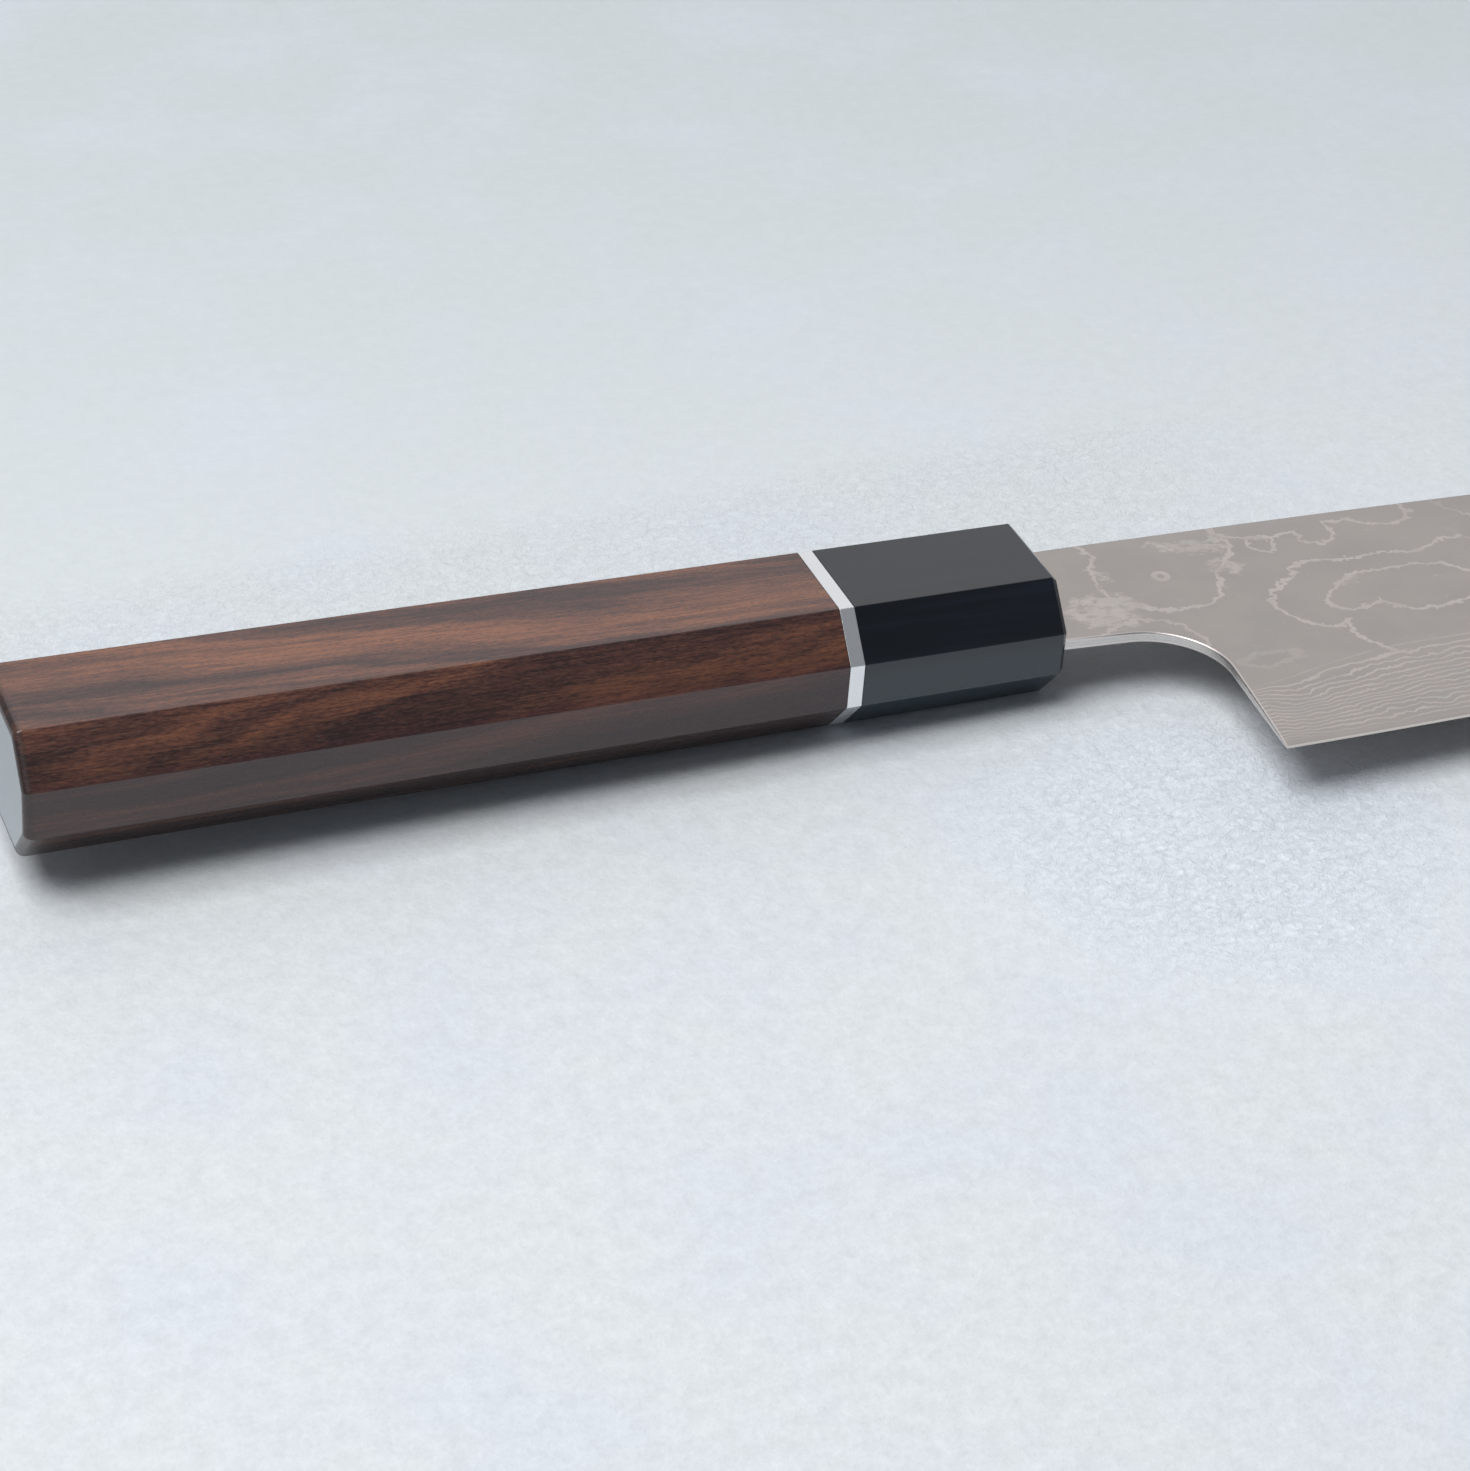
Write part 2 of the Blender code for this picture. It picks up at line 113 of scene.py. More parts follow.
# %% Sizes of the blade
SHOULDER_GAP = 0.3
HEEL_AHEAD = 16.8
SHOULDER = MOUTH + SHOULDER_GAP
HEEL = MOUTH + HEEL_AHEAD
EDGE_LENGTH = 210.0
TIP = HEEL + EDGE_LENGTH
SPINE_AT_MOUTH = 10.8
SPINE_SLOPE = 0.011
SPINE_DROP = 19.2
HEEL_DROP = 38.0
EDGE_SLOPE = 0.010
EDGE_CURVE = 0.00025
BELLY_RISE = 14.0
HEEL_RUN_SLOPE = 0.0077
TIP_BLUNT = 0.3
NECK_UNDERSIDE = 9.5
NECK_SLOPE = 0.080
CHOIL_AHEAD = 18.25
CHOIL_RADIUS = 9.7
TANG_LENGTH = 88.0
TANG_END = MOUTH - TANG_LENGTH
TANG_HALF_MOUTH = 4.2
TANG_HALF_END = 2.8
TANG_END_RADIUS = 2.2
HALF_AT_SPINE = 0.85
HALF_AT_HEEL = 0.52
HALF_AT_TIP = 0.15
BEVEL_HEIGHT = 16.0
BEVEL_CONVEXITY = 0.6
BARE_SHARE = 0.0225
CLAD_SHARE = 0.18
CORE_SHARE = 0.36
WELD_LINE = 0.01
print(f"The edge is {EDGE_LENGTH:.0f} mm long and starts {HEEL_AHEAD} mm ahead of the handle.")

# %% [markdown]
# ## Sums written as expressions
# Both the shapes and the finishes need arithmetic in node trees. Adding Math nodes by hand takes a line
# each and hides the formula. A small class that wraps a socket lets Python's own operators add the nodes,
# so that a formula reads as it would on paper. Every other node comes from one method.

# %% A number in a node tree, and the tree that it is in
class Value:
    """A socket that can be added, multiplied and so on; each operation adds a Math node."""

    def __init__(self, tree, socket):
        self.tree = tree
        self.socket = socket

    def math(self, operation, *others):
        terms = dict(enumerate((self, *others)))
        return self.tree.node("ShaderNodeMath", {"operation": operation}, terms)

    def __add__(self, other):
        return self.math("ADD", other)

    def __sub__(self, other):
        return self.math("SUBTRACT", other)

    def __mul__(self, other):
        return self.math("MULTIPLY", other)

    def __truediv__(self, other):
        return self.math("DIVIDE", other)

    def __pow__(self, other):
        return self.math("POWER", other)

    def __rsub__(self, other):
        return (self * -1) + other

    def __rtruediv__(self, other):
        return (self**-1) * other

    def __abs__(self):
        return self.math("ABSOLUTE")

    __radd__ = __add__
    __rmul__ = __mul__

    def at_least(self, other):
        return self.math("MAXIMUM", other)

    def at_most(self, other):
        return self.math("MINIMUM", other)

    def within(self, low, high):
        return self.at_least(low).at_most(high)

    def step(self, start, end):
        """0 before start, 1 after end and a soft rise between; end may lie below start."""
        settings = {"interpolation_type": "SMOOTHSTEP"}
        return self.tree.node("ShaderNodeMapRange", settings, {0: self, 1: start, 2: end})


def set_stops(ramp, stops):
    """Gives a colour ramp its stops, each a position and a colour."""
    while len(ramp.elements) < len(stops):
        ramp.elements.new(1.0)
    for element, (position, color) in zip(ramp.elements, stops):
        element.position = position
        element.color = color


class Tree:
    """A node tree with one method that makes any node."""

    def __init__(self, nodes_of):
        self.tree = nodes_of

    def node(self, kind, settings=None, sockets=None, output=0):
        """Adds a node, makes its settings, fills or links its sockets and gives one output."""
        node = self.tree.nodes.new(kind)
        for name, setting in (settings or {}).items():
            if name == "stops":
                set_stops(node.color_ramp, setting)
            else:
                setattr(node, name, setting)
        for name, given in (sockets or {}).items():
            if isinstance(given, Value):
                self.tree.links.new(given.socket, node.inputs[name])
            else:
                node.inputs[name].default_value = given
        return Value(self, node.outputs[output]) if node.outputs else node

    def parts(self, vector):
        """X, Y and Z of a vector."""
        split = self.node("ShaderNodeSeparateXYZ", {}, {0: vector})
        return [Value(self, split.socket.node.outputs[i]) for i in range(3)]

    def vector(self, x, y, z):
        return self.node("ShaderNodeCombineXYZ", {}, {0: x, 1: y, 2: z})

    def moved(self, place, by):
        return self.node("ShaderNodeVectorMath", {"operation": "ADD"}, {0: place, 1: by})

    def stretched(self, place, by):
        return self.node("ShaderNodeVectorMath", {"operation": "MULTIPLY"}, {0: place, 1: by})

    def mixed(self, share, first, second):
        """Two colours mixed by a share."""
        settings = {"data_type": "RGBA"}
        return self.node("ShaderNodeMix", settings, {0: share, 6: first, 7: second}, output=2)

    def dimmed(self, color, factor):
        """A colour times a number."""
        return self.node("ShaderNodeVectorMath", {"operation": "SCALE"}, {0: color, "Scale": factor})

    def pushed(self, place, push, reach):
        """A place moved by a noise's colour, from 0 to reach."""
        settings = {"operation": "MULTIPLY_ADD"}
        return self.node("ShaderNodeVectorMath", settings, {0: push, 1: reach, 2: place})

    def noise(self, place, scale, detail=2.0, roughness=0.5, distortion=0.0, output=0):
        sizes = {"Scale": scale, "Detail": detail, "Roughness": roughness, "Distortion": distortion}
        return self.node("ShaderNodeTexNoise", {}, {"Vector": place, **sizes}, output=output)

    def streaks(self, place, scales, detail=2.0, roughness=0.5, output=0):
        """Noise with its own scale along each axis, small along the streaks and large across them."""
        return self.noise(self.stretched(place, scales), 1.0, detail, roughness, output=output)

    def bump(self, strength, distance, height):
        sockets = {"Strength": strength, "Distance": distance, "Height": height}
        return self.node("ShaderNodeBump", {}, sockets)


print("Helpers for node sums are ready.")

# %% [markdown]
# ## An octagon that is turned like a lathe's work
# Four pieces of the handle share one shape: wood, ring, ferrule and the plate at the butt are all slices of
# one tapered octagon, each with its own little chamfers. They could be drawn as four lofts, but then a
# change of the octagon would have to be made four times. Geometry Nodes suit a shape that follows a rule:
# one tree takes a profile, a row of points that say how far along the handle they are and how far in from
# the octagon's sides, and carries it round the octagon, as a lathe would round a circle. The ridges are
# eased by a small arc. Beside each arc there is a point on the flat as well, so that the shading of the arc
# doesn't spread over the facet.

# %% Build the tree that turns a profile round the octagon
SIDES = 8
RIDGE_STEPS = 4
FLAT_MARGIN = 0.12
MERGE = 0.0005


def add_tree_inputs(group):
    """The named inputs of the lathe's tree, and its output."""
    kinds = {"Profile": "Geometry", **dict.fromkeys(OCTAGON, "Float")}
    kinds |= {"Ridge Steps": "Int", "Flat Margin": "Float", "Finish": "Material"}
    for name, kind in kinds.items():
        group.interface.new_socket(name, in_out="INPUT", socket_type=f"NodeSocket{kind}")
    group.interface.new_socket("Turned", in_out="OUTPUT", socket_type="NodeSocketGeometry")


def octagon_lathe():
    """The tree: a grid of profile points by points round the octagon, each put in its place."""
    group = bpy.data.node_groups.new("octagon_lathe", "GeometryNodeTree")
    add_tree_inputs(group)
    tree = Tree(group)
    given = group.nodes.new("NodeGroupInput").outputs
    size = {socket.name: Value(tree, socket) for socket in given if socket.name}
    steps, margin, radius = size["Ridge Steps"], size["Flat Margin"], size["Ridge Radius"]

    rows = tree.node("GeometryNodeAttributeDomainSize", {"component": "MESH"}, {0: size["Profile"]})
    per_ridge = steps + 3  # the ends of the arc's steps, and a point on the flat on each side
    around = per_ridge * SIDES
    sheet = tree.node("GeometryNodeMeshGrid", {}, {"Vertices X": rows, "Vertices Y": around + 1})
    index = tree.node("GeometryNodeInputIndex")
    row = ((index + 0.5) / (around + 1)).math("FLOOR")
    place = (index - row * (around + 1)).math("FLOORED_MODULO", around)
    ridge = ((place + 0.5) / per_ridge).math("FLOOR")
    step = place - ridge * per_ridge

    def of_profile(name):
        """A number that the profile's points carry, read at this row."""
        carried = tree.node("GeometryNodeInputNamedAttribute", {"data_type": "FLOAT"}, {"Name": name})
        sockets = {"Geometry": size["Profile"], "Value": carried, "Index": row}
        return tree.node("GeometryNodeSampleIndex", {"data_type": "FLOAT"}, sockets)

    along, inset, kept = of_profile("along"), of_profile("inset"), of_profile("kept")
    share = along / size["Handle Length"]

    def tapered(name):
        butt_size = size[f"Butt {name}"]
        return butt_size + (size[f"Mouth {name}"] - butt_size) * share

    half_height, half_thickness = tapered("Height") / 2, tapered("Thickness") / 2
    cut_height, cut_thickness = tapered("Bevel Height"), tapered("Bevel Thickness")
    slant = (cut_height * cut_height + cut_thickness * cut_thickness) ** 0.5
    normal_y, normal_z = cut_thickness / slant, cut_height / slant
    reach = normal_y * half_height + normal_z * (half_thickness - cut_thickness) - inset - radius
    side, top = half_height - inset - radius, half_thickness - inset - radius
    high, wide = (reach - normal_y * side) / normal_z, (reach - normal_z * top) / normal_y

    bevel_angle = normal_z.math("ARCTAN2", normal_y)

    def side_angle(number):
        """The direction that a side of the octagon faces."""
        return number * (math.pi / 4) + (bevel_angle - math.pi / 4) * (number * (math.pi / 2)).math("SINE")

    first, last = side_angle(ridge), side_angle(ridge + 1)
    middle = (first + last) / 2
    beside = ((ridge + 1).math("FLOORED_MODULO", 4)).math("LESS_THAN", 2)
    centre_y = (side * beside + wide * (1 - beside)) * middle.math("COSINE").math("SIGN")
    centre_z = (high * beside + top * (1 - beside)) * middle.math("SINE").math("SIGN")
    turned = ((step - 1) / steps).within(0, 1)
    angle = first + (last - first) * turned
    slide = margin * (step.math("GREATER_THAN", steps + 1.5) - step.math("LESS_THAN", 0.5))
    y = centre_y + radius * angle.math("COSINE") - slide * angle.math("SINE")
    z = centre_z + radius * angle.math("SINE") + slide * angle.math("COSINE")

    position = tree.vector(along, y * kept, z * kept)
    shaped = tree.node("GeometryNodeSetPosition", {}, {"Geometry": sheet, "Position": position})
    closed = tree.node("GeometryNodeMergeByDistance", {}, {"Geometry": shaped, "Distance": MERGE})
    real = tree.node("GeometryNodeRealizeInstances", {}, {0: closed})
    finished = tree.node("GeometryNodeSetMaterial", {}, {"Geometry": real, "Material": size["Finish"]})
    group.links.new(finished.socket, group.nodes.new("NodeGroupOutput").inputs[0])
    return group


lathe = octagon_lathe()
print(f"The lathe's tree has {len(lathe.nodes)} nodes.")

# %% [markdown]
# ## Profiles
# A profile is drawn as a few sharp corners, and each corner is then eased by its own radius: real wood,
# horn and metal never meet at a perfectly sharp edge, and the thin bright line that such an edge catches is
# what makes a render look solid. The first and last points lie on the handle's centre line, so the turned
# shape is closed.

# %% Ease the corners of a profile
ARC_STEPS = 4


def eased_profile(corners):
    """(along, inset) points of a polyline whose corners, given with a radius, are replaced by arcs."""
    points = []
    for i, (x, y, radius) in enumerate(corners):
        corner = Vector((x, y))
        if radius == 0:
            points.append(corner)
            continue
        back = (Vector(corners[i - 1][:2]) - corner).normalized()
        ahead = (Vector(corners[i + 1][:2]) - corner).normalized()
        half = back.angle(ahead) / 2
        reach = radius / math.tan(half)
        centre = corner + (back + ahead).normalized() * radius / math.sin(half)
        first, last = back * reach + corner - centre, ahead * reach + corner - centre
        points.append(corner + back * (reach + radius))
        for step in range(ARC_STEPS + 1):
            points.append(centre + first.lerp(last, step / ARC_STEPS).normalized() * radius)
        points.append(corner + ahead * (reach + radius))
    return points


def profile_mesh(name, points):
    """The profile as loose points that carry along, inset and kept; kept is 0 on the centre line."""
    points = [(points[0].x, points[0].y, 0.0)] + [(p.x, p.y, 1.0) for p in points]
    points.append((points[-1][0], points[-1][1], 0.0))
    mesh = bpy.data.meshes.new(name)
    mesh.from_pydata([(x, 0, 0) for x, _, _ in points], [], [])
    for column, label in enumerate(("along", "inset", "kept")):
        carried = mesh.attributes.new(label, "FLOAT", "POINT")
        carried.data.foreach_set("value", [point[column] for point in points])
    return mesh


print("Profiles can be drawn.")

# %% [markdown]
# ## From a modifier to a plain piece
# The export needs plain meshes whose objects sit at the origin. So each piece is worked out with its
# modifiers, copied as a plain mesh, laid in the frame by the knife's matrix, and checked: a closed solid
# has no open edges, and its faces point outwards.

# %% Make plain meshes and check them
SMOOTH_ANGLE = math.radians(30)


def placed(name, data):
    """A new object in the scene."""
    made = bpy.data.objects.new(name, data)
    scene.collection.objects.link(made)
    return made


def mesh_of(name, shape):
    """A bmesh written to a new mesh and freed."""
    mesh = bpy.data.meshes.new(name)
    shape.to_mesh(mesh)
    shape.free()
    return mesh


def plain_piece(name, mesh, finish):
    """A finished piece of the knife from a mesh in millimetres, shaded smooth across its small arcs."""
    shape = bmesh.new()
    shape.from_mesh(mesh)
    bmesh.ops.remove_doubles(shape, verts=shape.verts, dist=MERGE)
    bmesh.ops.dissolve_degenerate(shape, dist=MERGE / 2, edges=shape.edges)
    bmesh.ops.recalc_face_normals(shape, faces=shape.faces)
    if shape.calc_volume(signed=True) < 0:
        bmesh.ops.reverse_faces(shape, faces=shape.faces)
    closed = all(edge.is_manifold for edge in shape.edges)
    volume = shape.calc_volume()
    shape.transform(to_frame)
    made = mesh_of(name, shape)
    made.materials.clear()
    made.materials.append(finish)
    made.shade_smooth()
    made.set_sharp_from_angle(angle=SMOOTH_ANGLE)
    piece = placed(name, made)
    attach(piece, "root")
    faces = len(made.polygons)
    print(f"{name}: {faces} faces, {volume:.0f} mm3, {'closed' if closed else 'OPEN'}")
    return piece


def worked_out(obj):
    """The plain mesh that an object's modifiers give."""
    graph = bpy.context.evaluated_depsgraph_get()
    return bpy.data.meshes.new_from_object(obj.evaluated_get(graph))


def turned_octagon(name, corners, finish, cutters=()):
    """Turns a profile round the octagon, cuts holes in it and gives the plain mesh."""
    work = placed(f"{name}_work", profile_mesh(name, eased_profile(corners)))
    turn = work.modifiers.new("turn", "NODES")
    turn.node_group = lathe
    sizes = {**OCTAGON, "Ridge Steps": RIDGE_STEPS, "Flat Margin": FLAT_MARGIN, "Finish": finish}
    for socket in lathe.interface.items_tree:
        if socket.in_out == "INPUT" and socket.name in sizes:
            turn[socket.identifier] = sizes[socket.name]
    for cutter in cutters:
        cut = work.modifiers.new("cut", "BOOLEAN")
        cut.operation = "DIFFERENCE"
        cut.solver = "EXACT"
        cut.object = cutter
    mesh = worked_out(work)
    bpy.data.objects.remove(work, do_unlink=True)
    return mesh


print("Pieces can be made plain.")

# %% [markdown]
# ## Finishes share one set of axes
# A grain or a layer pattern belongs to the knife, not to the frame, so every finish starts from Object
# coordinates that a Mapping node turns into the knife's own axes, in millimetres. All objects sit at the
# origin, so the same Mapping serves every piece, and grain runs on from one piece to the next.

# %% Start a finish in the knife's axes
def blank_tree(owner):
    """The emptied node tree of a material or of the world."""
    owner.use_nodes = True
    owner.node_tree.nodes.clear()
    return Tree(owner.node_tree)


def new_finish(name):
    """An empty material, its tree, and a place on the knife in millimetres."""
    material = bpy.data.materials.new(name)
    tree = blank_tree(material)
    place = tree.node("ShaderNodeTexCoord", output="Object")
    settings = {"vector_type": "TEXTURE"}
    laid = {"Vector": place, "Location": butt, "Rotation": (0, tilt, 0), "Scale": (MM, MM, MM)}
    return material, tree, tree.node("ShaderNodeMapping", settings, laid)


def close_finish(tree, **sockets):
    """Ends a finish in one Principled BSDF. Socket names are written with _ for a space."""
    named = {name.replace("_", " "): given for name, given in sockets.items()}
    surface = tree.node("ShaderNodeBsdfPrincipled", {}, named)
    tree.node("ShaderNodeOutputMaterial", {}, {0: surface})


def tone(red, green, blue):
    """A colour given as it is seen on a screen, from 0 to 255, made linear for the shader."""
    def linear(part):
        part = part / 255
        return part / 12.92 if part <= 0.04045 else ((part + 0.055) / 1.055) ** 2.4
    return (linear(red), linear(green), linear(blue), 1.0)


print("A mid grey of 128 is", [round(part, 3) for part in tone(128, 128, 128)])

# %% [markdown]
# ## Rosewood
# The handle's body is a dark rosewood: near-black growth lines between orange-brown bands, which cross
# each facet at a slant of its own, with short fine fibres and pores. A tree's rings are shells round its
# pith, so the pattern is made as in the tree: rings round a line that passes the handle at a slight angle,
# bent by noise that is long along the grain. The same solid pattern then cuts every facet correctly:
# stripes where a facet stands across the rings, and long flames where it almost lies along them. The colour
# is also darkened from the upper side down, a painted shade on the facets that turn towards the floor, and
# a faint purple runs through its middle.

# %% Rosewood finish
PITH_Y = 33.0
PITH_Z = -50.0
RING_SLANT = 0.05
SAWN_FROM = 1.7
LACQUER_IOR = 1.7


def rosewood():
    material, tree, place = new_finish("rosewood")
    slow = tree.streaks(place, (0.022, 0.12, 0.12), output=1)
    bent = tree.pushed(place, slow, (0, 4, 4))
    quick = tree.streaks(place, (0.07, 0.6, 0.6), output=1)
    bent = tree.pushed(bent, quick, (0, 0.9, 0.9))
    x, y, z = tree.parts(bent)
    from_pith_y, from_pith_z = y - PITH_Y, z - PITH_Z
    ring = (from_pith_y * from_pith_y + from_pith_z * from_pith_z) ** 0.5 - x * RING_SLANT
    log = tree.vector(ring * 0.52, x * 0.011, y * 0.03 + SAWN_FROM)
    bands = tree.noise(log, 1.0)
    lines = tree.noise(tree.vector(ring * 2.2, x * 0.03, 8.0), 1.0, detail=3.0, roughness=0.6)
    fibres = tree.streaks(place, (0.16, 3.2, 3.2), detail=3.0, roughness=0.65)
    specks = tree.streaks(place, (1.1, 5.5, 5.5), roughness=0.6)
    pore = specks.step(0.60, 0.70)
    warmth = bands.step(0.32, 0.68) * 0.72 + 0.08
    warmth = warmth + (lines - 0.5) * 0.70 + (fibres - 0.5) * 1.05 + (specks - 0.5) * 1.35
    colors = [
        (0.0, tone(43, 27, 25)),
        (0.35, tone(72, 44, 37)),
        (0.62, tone(97, 61, 46)),
        (0.95, tone(127, 79, 54)),
    ]
    color = tree.node("ShaderNodeValToRGB", {"stops": colors}, {0: warmth})
    color = tree.mixed(pore * 0.75, color, tone(28, 20, 18))
    along, _, out = tree.parts(place)
    purple = out.step(4.5, 2.5) * out.step(-5.0, -3.0)
    color = tree.mixed(purple * 0.35, color, tone(74, 34, 44))
    # Painted shade: the wood is painted darker towards its lower side, the side away from the lamps.
    painted_lower_shade = out.step(-5, 5) * 0.21 + out.step(3, 9) * 0.54 + 0.55
    color = tree.dimmed(color, painted_lower_shade * (1 - along.step(1.4, 0.6) * 0.5))
    height = (fibres * 0.5 - pore * 0.8) * along.step(1.2, 2.4)
    bump = tree.bump(0.25, 0.00004, height)
    roughness = 0.22 + fibres * 0.12 + pore * 0.2
    close_finish(tree, Base_Color=color, Roughness=roughness, Normal=bump, IOR=LACQUER_IOR)
    return material


rosewood_finish = rosewood()
print("Rosewood has", len(rosewood_finish.node_tree.nodes), "nodes.")

# %% [markdown]
# ## Black horn
# The ferrule looks like polished buffalo horn: black, with a very faint streak along the handle and a soft
# gloss. Towards its lower side it is painted slate grey, a painted reflection of the floor. Its facets show
# the room and the floor, so the gloss matters more than the colour.

# %% Black horn finish
def black_horn():
    material, tree, place = new_finish("black_horn")
    streaks = tree.streaks(place, (0.05, 0.9, 0.9), detail=4.0, roughness=0.55)
    color = tree.mixed(streaks.step(0.4, 0.75), tone(2, 7, 15), tone(11, 18, 30))
    # Painted reflection: slate grey towards the lower side stands for the floor that those facets mirror.
    painted_floor_reflection = tree.parts(place)[2].step(4, 0) * 0.6
    color = tree.mixed(painted_floor_reflection, color, tone(34, 52, 62))
    fine = tree.streaks(place, (1.2, 6.0, 6.0))
    bump = tree.bump(0.08, 0.00002, fine)
    close_finish(tree, Base_Color=color, Roughness=0.15 + fine * 0.1, Normal=bump, IOR=LACQUER_IOR)
    return material


horn_finish = black_horn()
print("Horn has", len(horn_finish.node_tree.nodes), "nodes.")

# %% [markdown]
# ## White metal
# The ring and the plate at the butt are a white metal such as nickel silver, ground flat with the wood: a
# fine satin with faint scratches.

# %% White metal finish
def white_metal(name, darker, lighter, roughness):
    """A satin white metal between two tones."""
    material, tree, place = new_finish(name)
    scratches = tree.streaks(place, (1.2, 9.0, 9.0), detail=3.0, roughness=0.65)
    color = tree.mixed(tree.noise(place, 0.25), (*darker, 1), (*lighter, 1))
    bump = tree.bump(0.05, 0.00002, scratches)
    rough = roughness + scratches * 0.12
    close_finish(tree, Base_Color=color, Metallic=1.0, Roughness=rough, Normal=bump)
    return material


ring_finish = white_metal("ring_metal", (0.91, 0.91, 0.91), (0.96, 0.96, 0.96), 0.33)
plate_finish = white_metal("plate_metal", (0.45, 0.47, 0.485), (0.49, 0.51, 0.525), 0.38)
print("White metal has", len(ring_finish.node_tree.nodes), "nodes.")

# %% [markdown]
# ## The handle's body
# A long octagonal block, chamfered round the butt, with a shallow recess for the plate. It is bored from
# the front for the dowel that holds the handle together. The recess is part of the profile; the bore is
# round, so a cylinder cuts it.

# %% Cutters for the bores
CUTTER_SIDES = 96
OVERSHOOT = 5.0  # how far a cutter reaches past the face that it opens


def rod_cutter(name, radius, start, end):
    """A round rod on the centre line, as a Boolean's tool."""
    shape = bmesh.new()
    turn = Matrix.Translation(((start + end) / 2, 0, 0)) @ Matrix.Rotation(math.pi / 2, 4, "Y")
    sizes = {"radius1": radius, "radius2": radius, "depth": end - start}
    bmesh.ops.create_cone(shape, cap_ends=True, segments=CUTTER_SIDES, matrix=turn, **sizes)
    return placed(name, mesh_of(name, shape))


body_bore = rod_cutter("body_bore", BORE_RADIUS, BORE_END, BODY_LENGTH + OVERSHOOT)
print("The body's bore is", round(BODY_LENGTH - BORE_END, 1), "mm deep.")

# %% Turn the body
CHAMFER_STEPS = 10
BESIDE_CHAMFER = 0.3
EDGE_RADIUS = 0.05
END_FACE = 1.0  # how far in a profile is drawn on an end face before it runs to the centre line


def body_profile():
    """From the recess's floor over the rim and the rounded chamfer, along the facets to the ring."""
    rim = BUTT_CHAMFER_INSET + PLATE_RIM - GLUE_LINE
    floor = PLATE_THICKNESS + GLUE_LINE
    corners = [(floor, rim, 0), (0, rim, 0)]
    for step in range(CHAMFER_STEPS + 1):
        angle = math.pi / 2 * step / CHAMFER_STEPS
        along = BUTT_CHAMFER_DEPTH * (1 - math.cos(angle))
        corners.append((along, BUTT_CHAMFER_INSET * (1 - math.sin(angle)), 0))
    corners.append((BUTT_CHAMFER_DEPTH + BESIDE_CHAMFER, 0, 0))
    return corners + [(BODY_LENGTH, 0, EDGE_RADIUS), (BODY_LENGTH, END_FACE, 0)]


body_mesh = turned_octagon("handle_body", body_profile(), rosewood_finish, [body_bore])
handle_body = plain_piece("rosewood_body", body_mesh, rosewood_finish)
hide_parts("handle_body")

# %% [markdown]
# ## Plate and ring
# A thin octagon of white metal closes the butt, flush with the wood, and another lies between wood and
# horn. The ring has a hole for the dowel.

# %% Turn the plate and the ring
plate_inset = BUTT_CHAMFER_INSET + PLATE_RIM
plate_profile = [
    (0, plate_inset + END_FACE, 0),
    (0, plate_inset, EDGE_RADIUS),
    (PLATE_THICKNESS, plate_inset, EDGE_RADIUS),
    (PLATE_THICKNESS, plate_inset + END_FACE, 0),
]
plate_mesh = turned_octagon("butt_plate", plate_profile, plate_finish)
butt_plate = plain_piece("butt_end_plate", plate_mesh, plate_finish)
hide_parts("butt_plate")

ring_end = RING_START + RING_THICKNESS
ring_profile = [
    (RING_START, END_FACE, 0),
    (RING_START, 0, EDGE_RADIUS),
    (ring_end, 0, EDGE_RADIUS),
    (ring_end, END_FACE, 0),
]
ring_bore = rod_cutter("ring_bore", BORE_RADIUS, RING_START - OVERSHOOT, ring_end + OVERSHOOT)
ring_mesh = turned_octagon("spacer_ring", ring_profile, ring_finish, [ring_bore])
spacer_ring = plain_piece("metal_ring", ring_mesh, ring_finish)
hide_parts("spacer_ring")

# %% [markdown]
# ## Ferrule
# The black collar is bored from behind for the dowel and keeps a wall in front, with a slot that the tang
# passes through. Its front edge is chamfered.

# %% Turn the ferrule
def box_cutter(name, low_corner, high_corner):
    """A box between two corners, as a Boolean's tool."""
    shape = bmesh.new()
    bmesh.ops.create_cube(shape, size=1)
    size = Vector(high_corner) - Vector(low_corner)
    middle = (Vector(high_corner) + Vector(low_corner)) / 2
    shape.transform(Matrix.Translation(middle) @ Matrix.Diagonal((*size, 1)))
    return placed(name, mesh_of(name, shape))


SLOT_CLEARANCE = 0.3
SLOT_HALF_HEIGHT = TANG_HALF_MOUTH + SLOT_CLEARANCE
SLOT_HALF_WIDTH = 1.11
FRONT_RADIUS = 0.1
INTO_BORE = 2.0
ferrule_profile = [
    (FERRULE_START, END_FACE, 0),
    (FERRULE_START, 0, EDGE_RADIUS),
    (MOUTH - FERRULE_CHAMFER, 0, FRONT_RADIUS),
    (MOUTH, FERRULE_CHAMFER, FRONT_RADIUS),
    (MOUTH, FERRULE_CHAMFER + 2 * END_FACE, 0),
]
bore_end = MOUTH - FERRULE_WALL
ferrule_bore = rod_cutter("ferrule_bore", BORE_RADIUS, FERRULE_START - OVERSHOOT, bore_end)
slot = box_cutter(
    "ferrule_slot",
    (bore_end - INTO_BORE, -SLOT_HALF_HEIGHT, -SLOT_HALF_WIDTH),
    (MOUTH + OVERSHOOT, SLOT_HALF_HEIGHT, SLOT_HALF_WIDTH),
)
ferrule_mesh = turned_octagon("ferrule", ferrule_profile, horn_finish, [ferrule_bore, slot])
ferrule = plain_piece("horn_ferrule", ferrule_mesh, horn_finish)
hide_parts("ferrule")
for cutter in (body_bore, ring_bore, ferrule_bore, slot):
    bpy.data.objects.remove(cutter, do_unlink=True)

# %% [markdown]
# ## The blade's outline and thickness
# A gyuto's blade is three layers: hard core steel between two damascus claddings. From the side it is a
# flat outline, and its thickness is one plane on each side that falls away in a convex bevel to the edge.
# So each layer is a height over a flat drawing. Lofting sections along the blade would work as well, but
# the round choil ahead of the handle cuts through the sections at a slant. Here the outline is filled with
# triangles, and every point is lifted by a formula.

# %% Heights along the blade
HALVINGS = 60


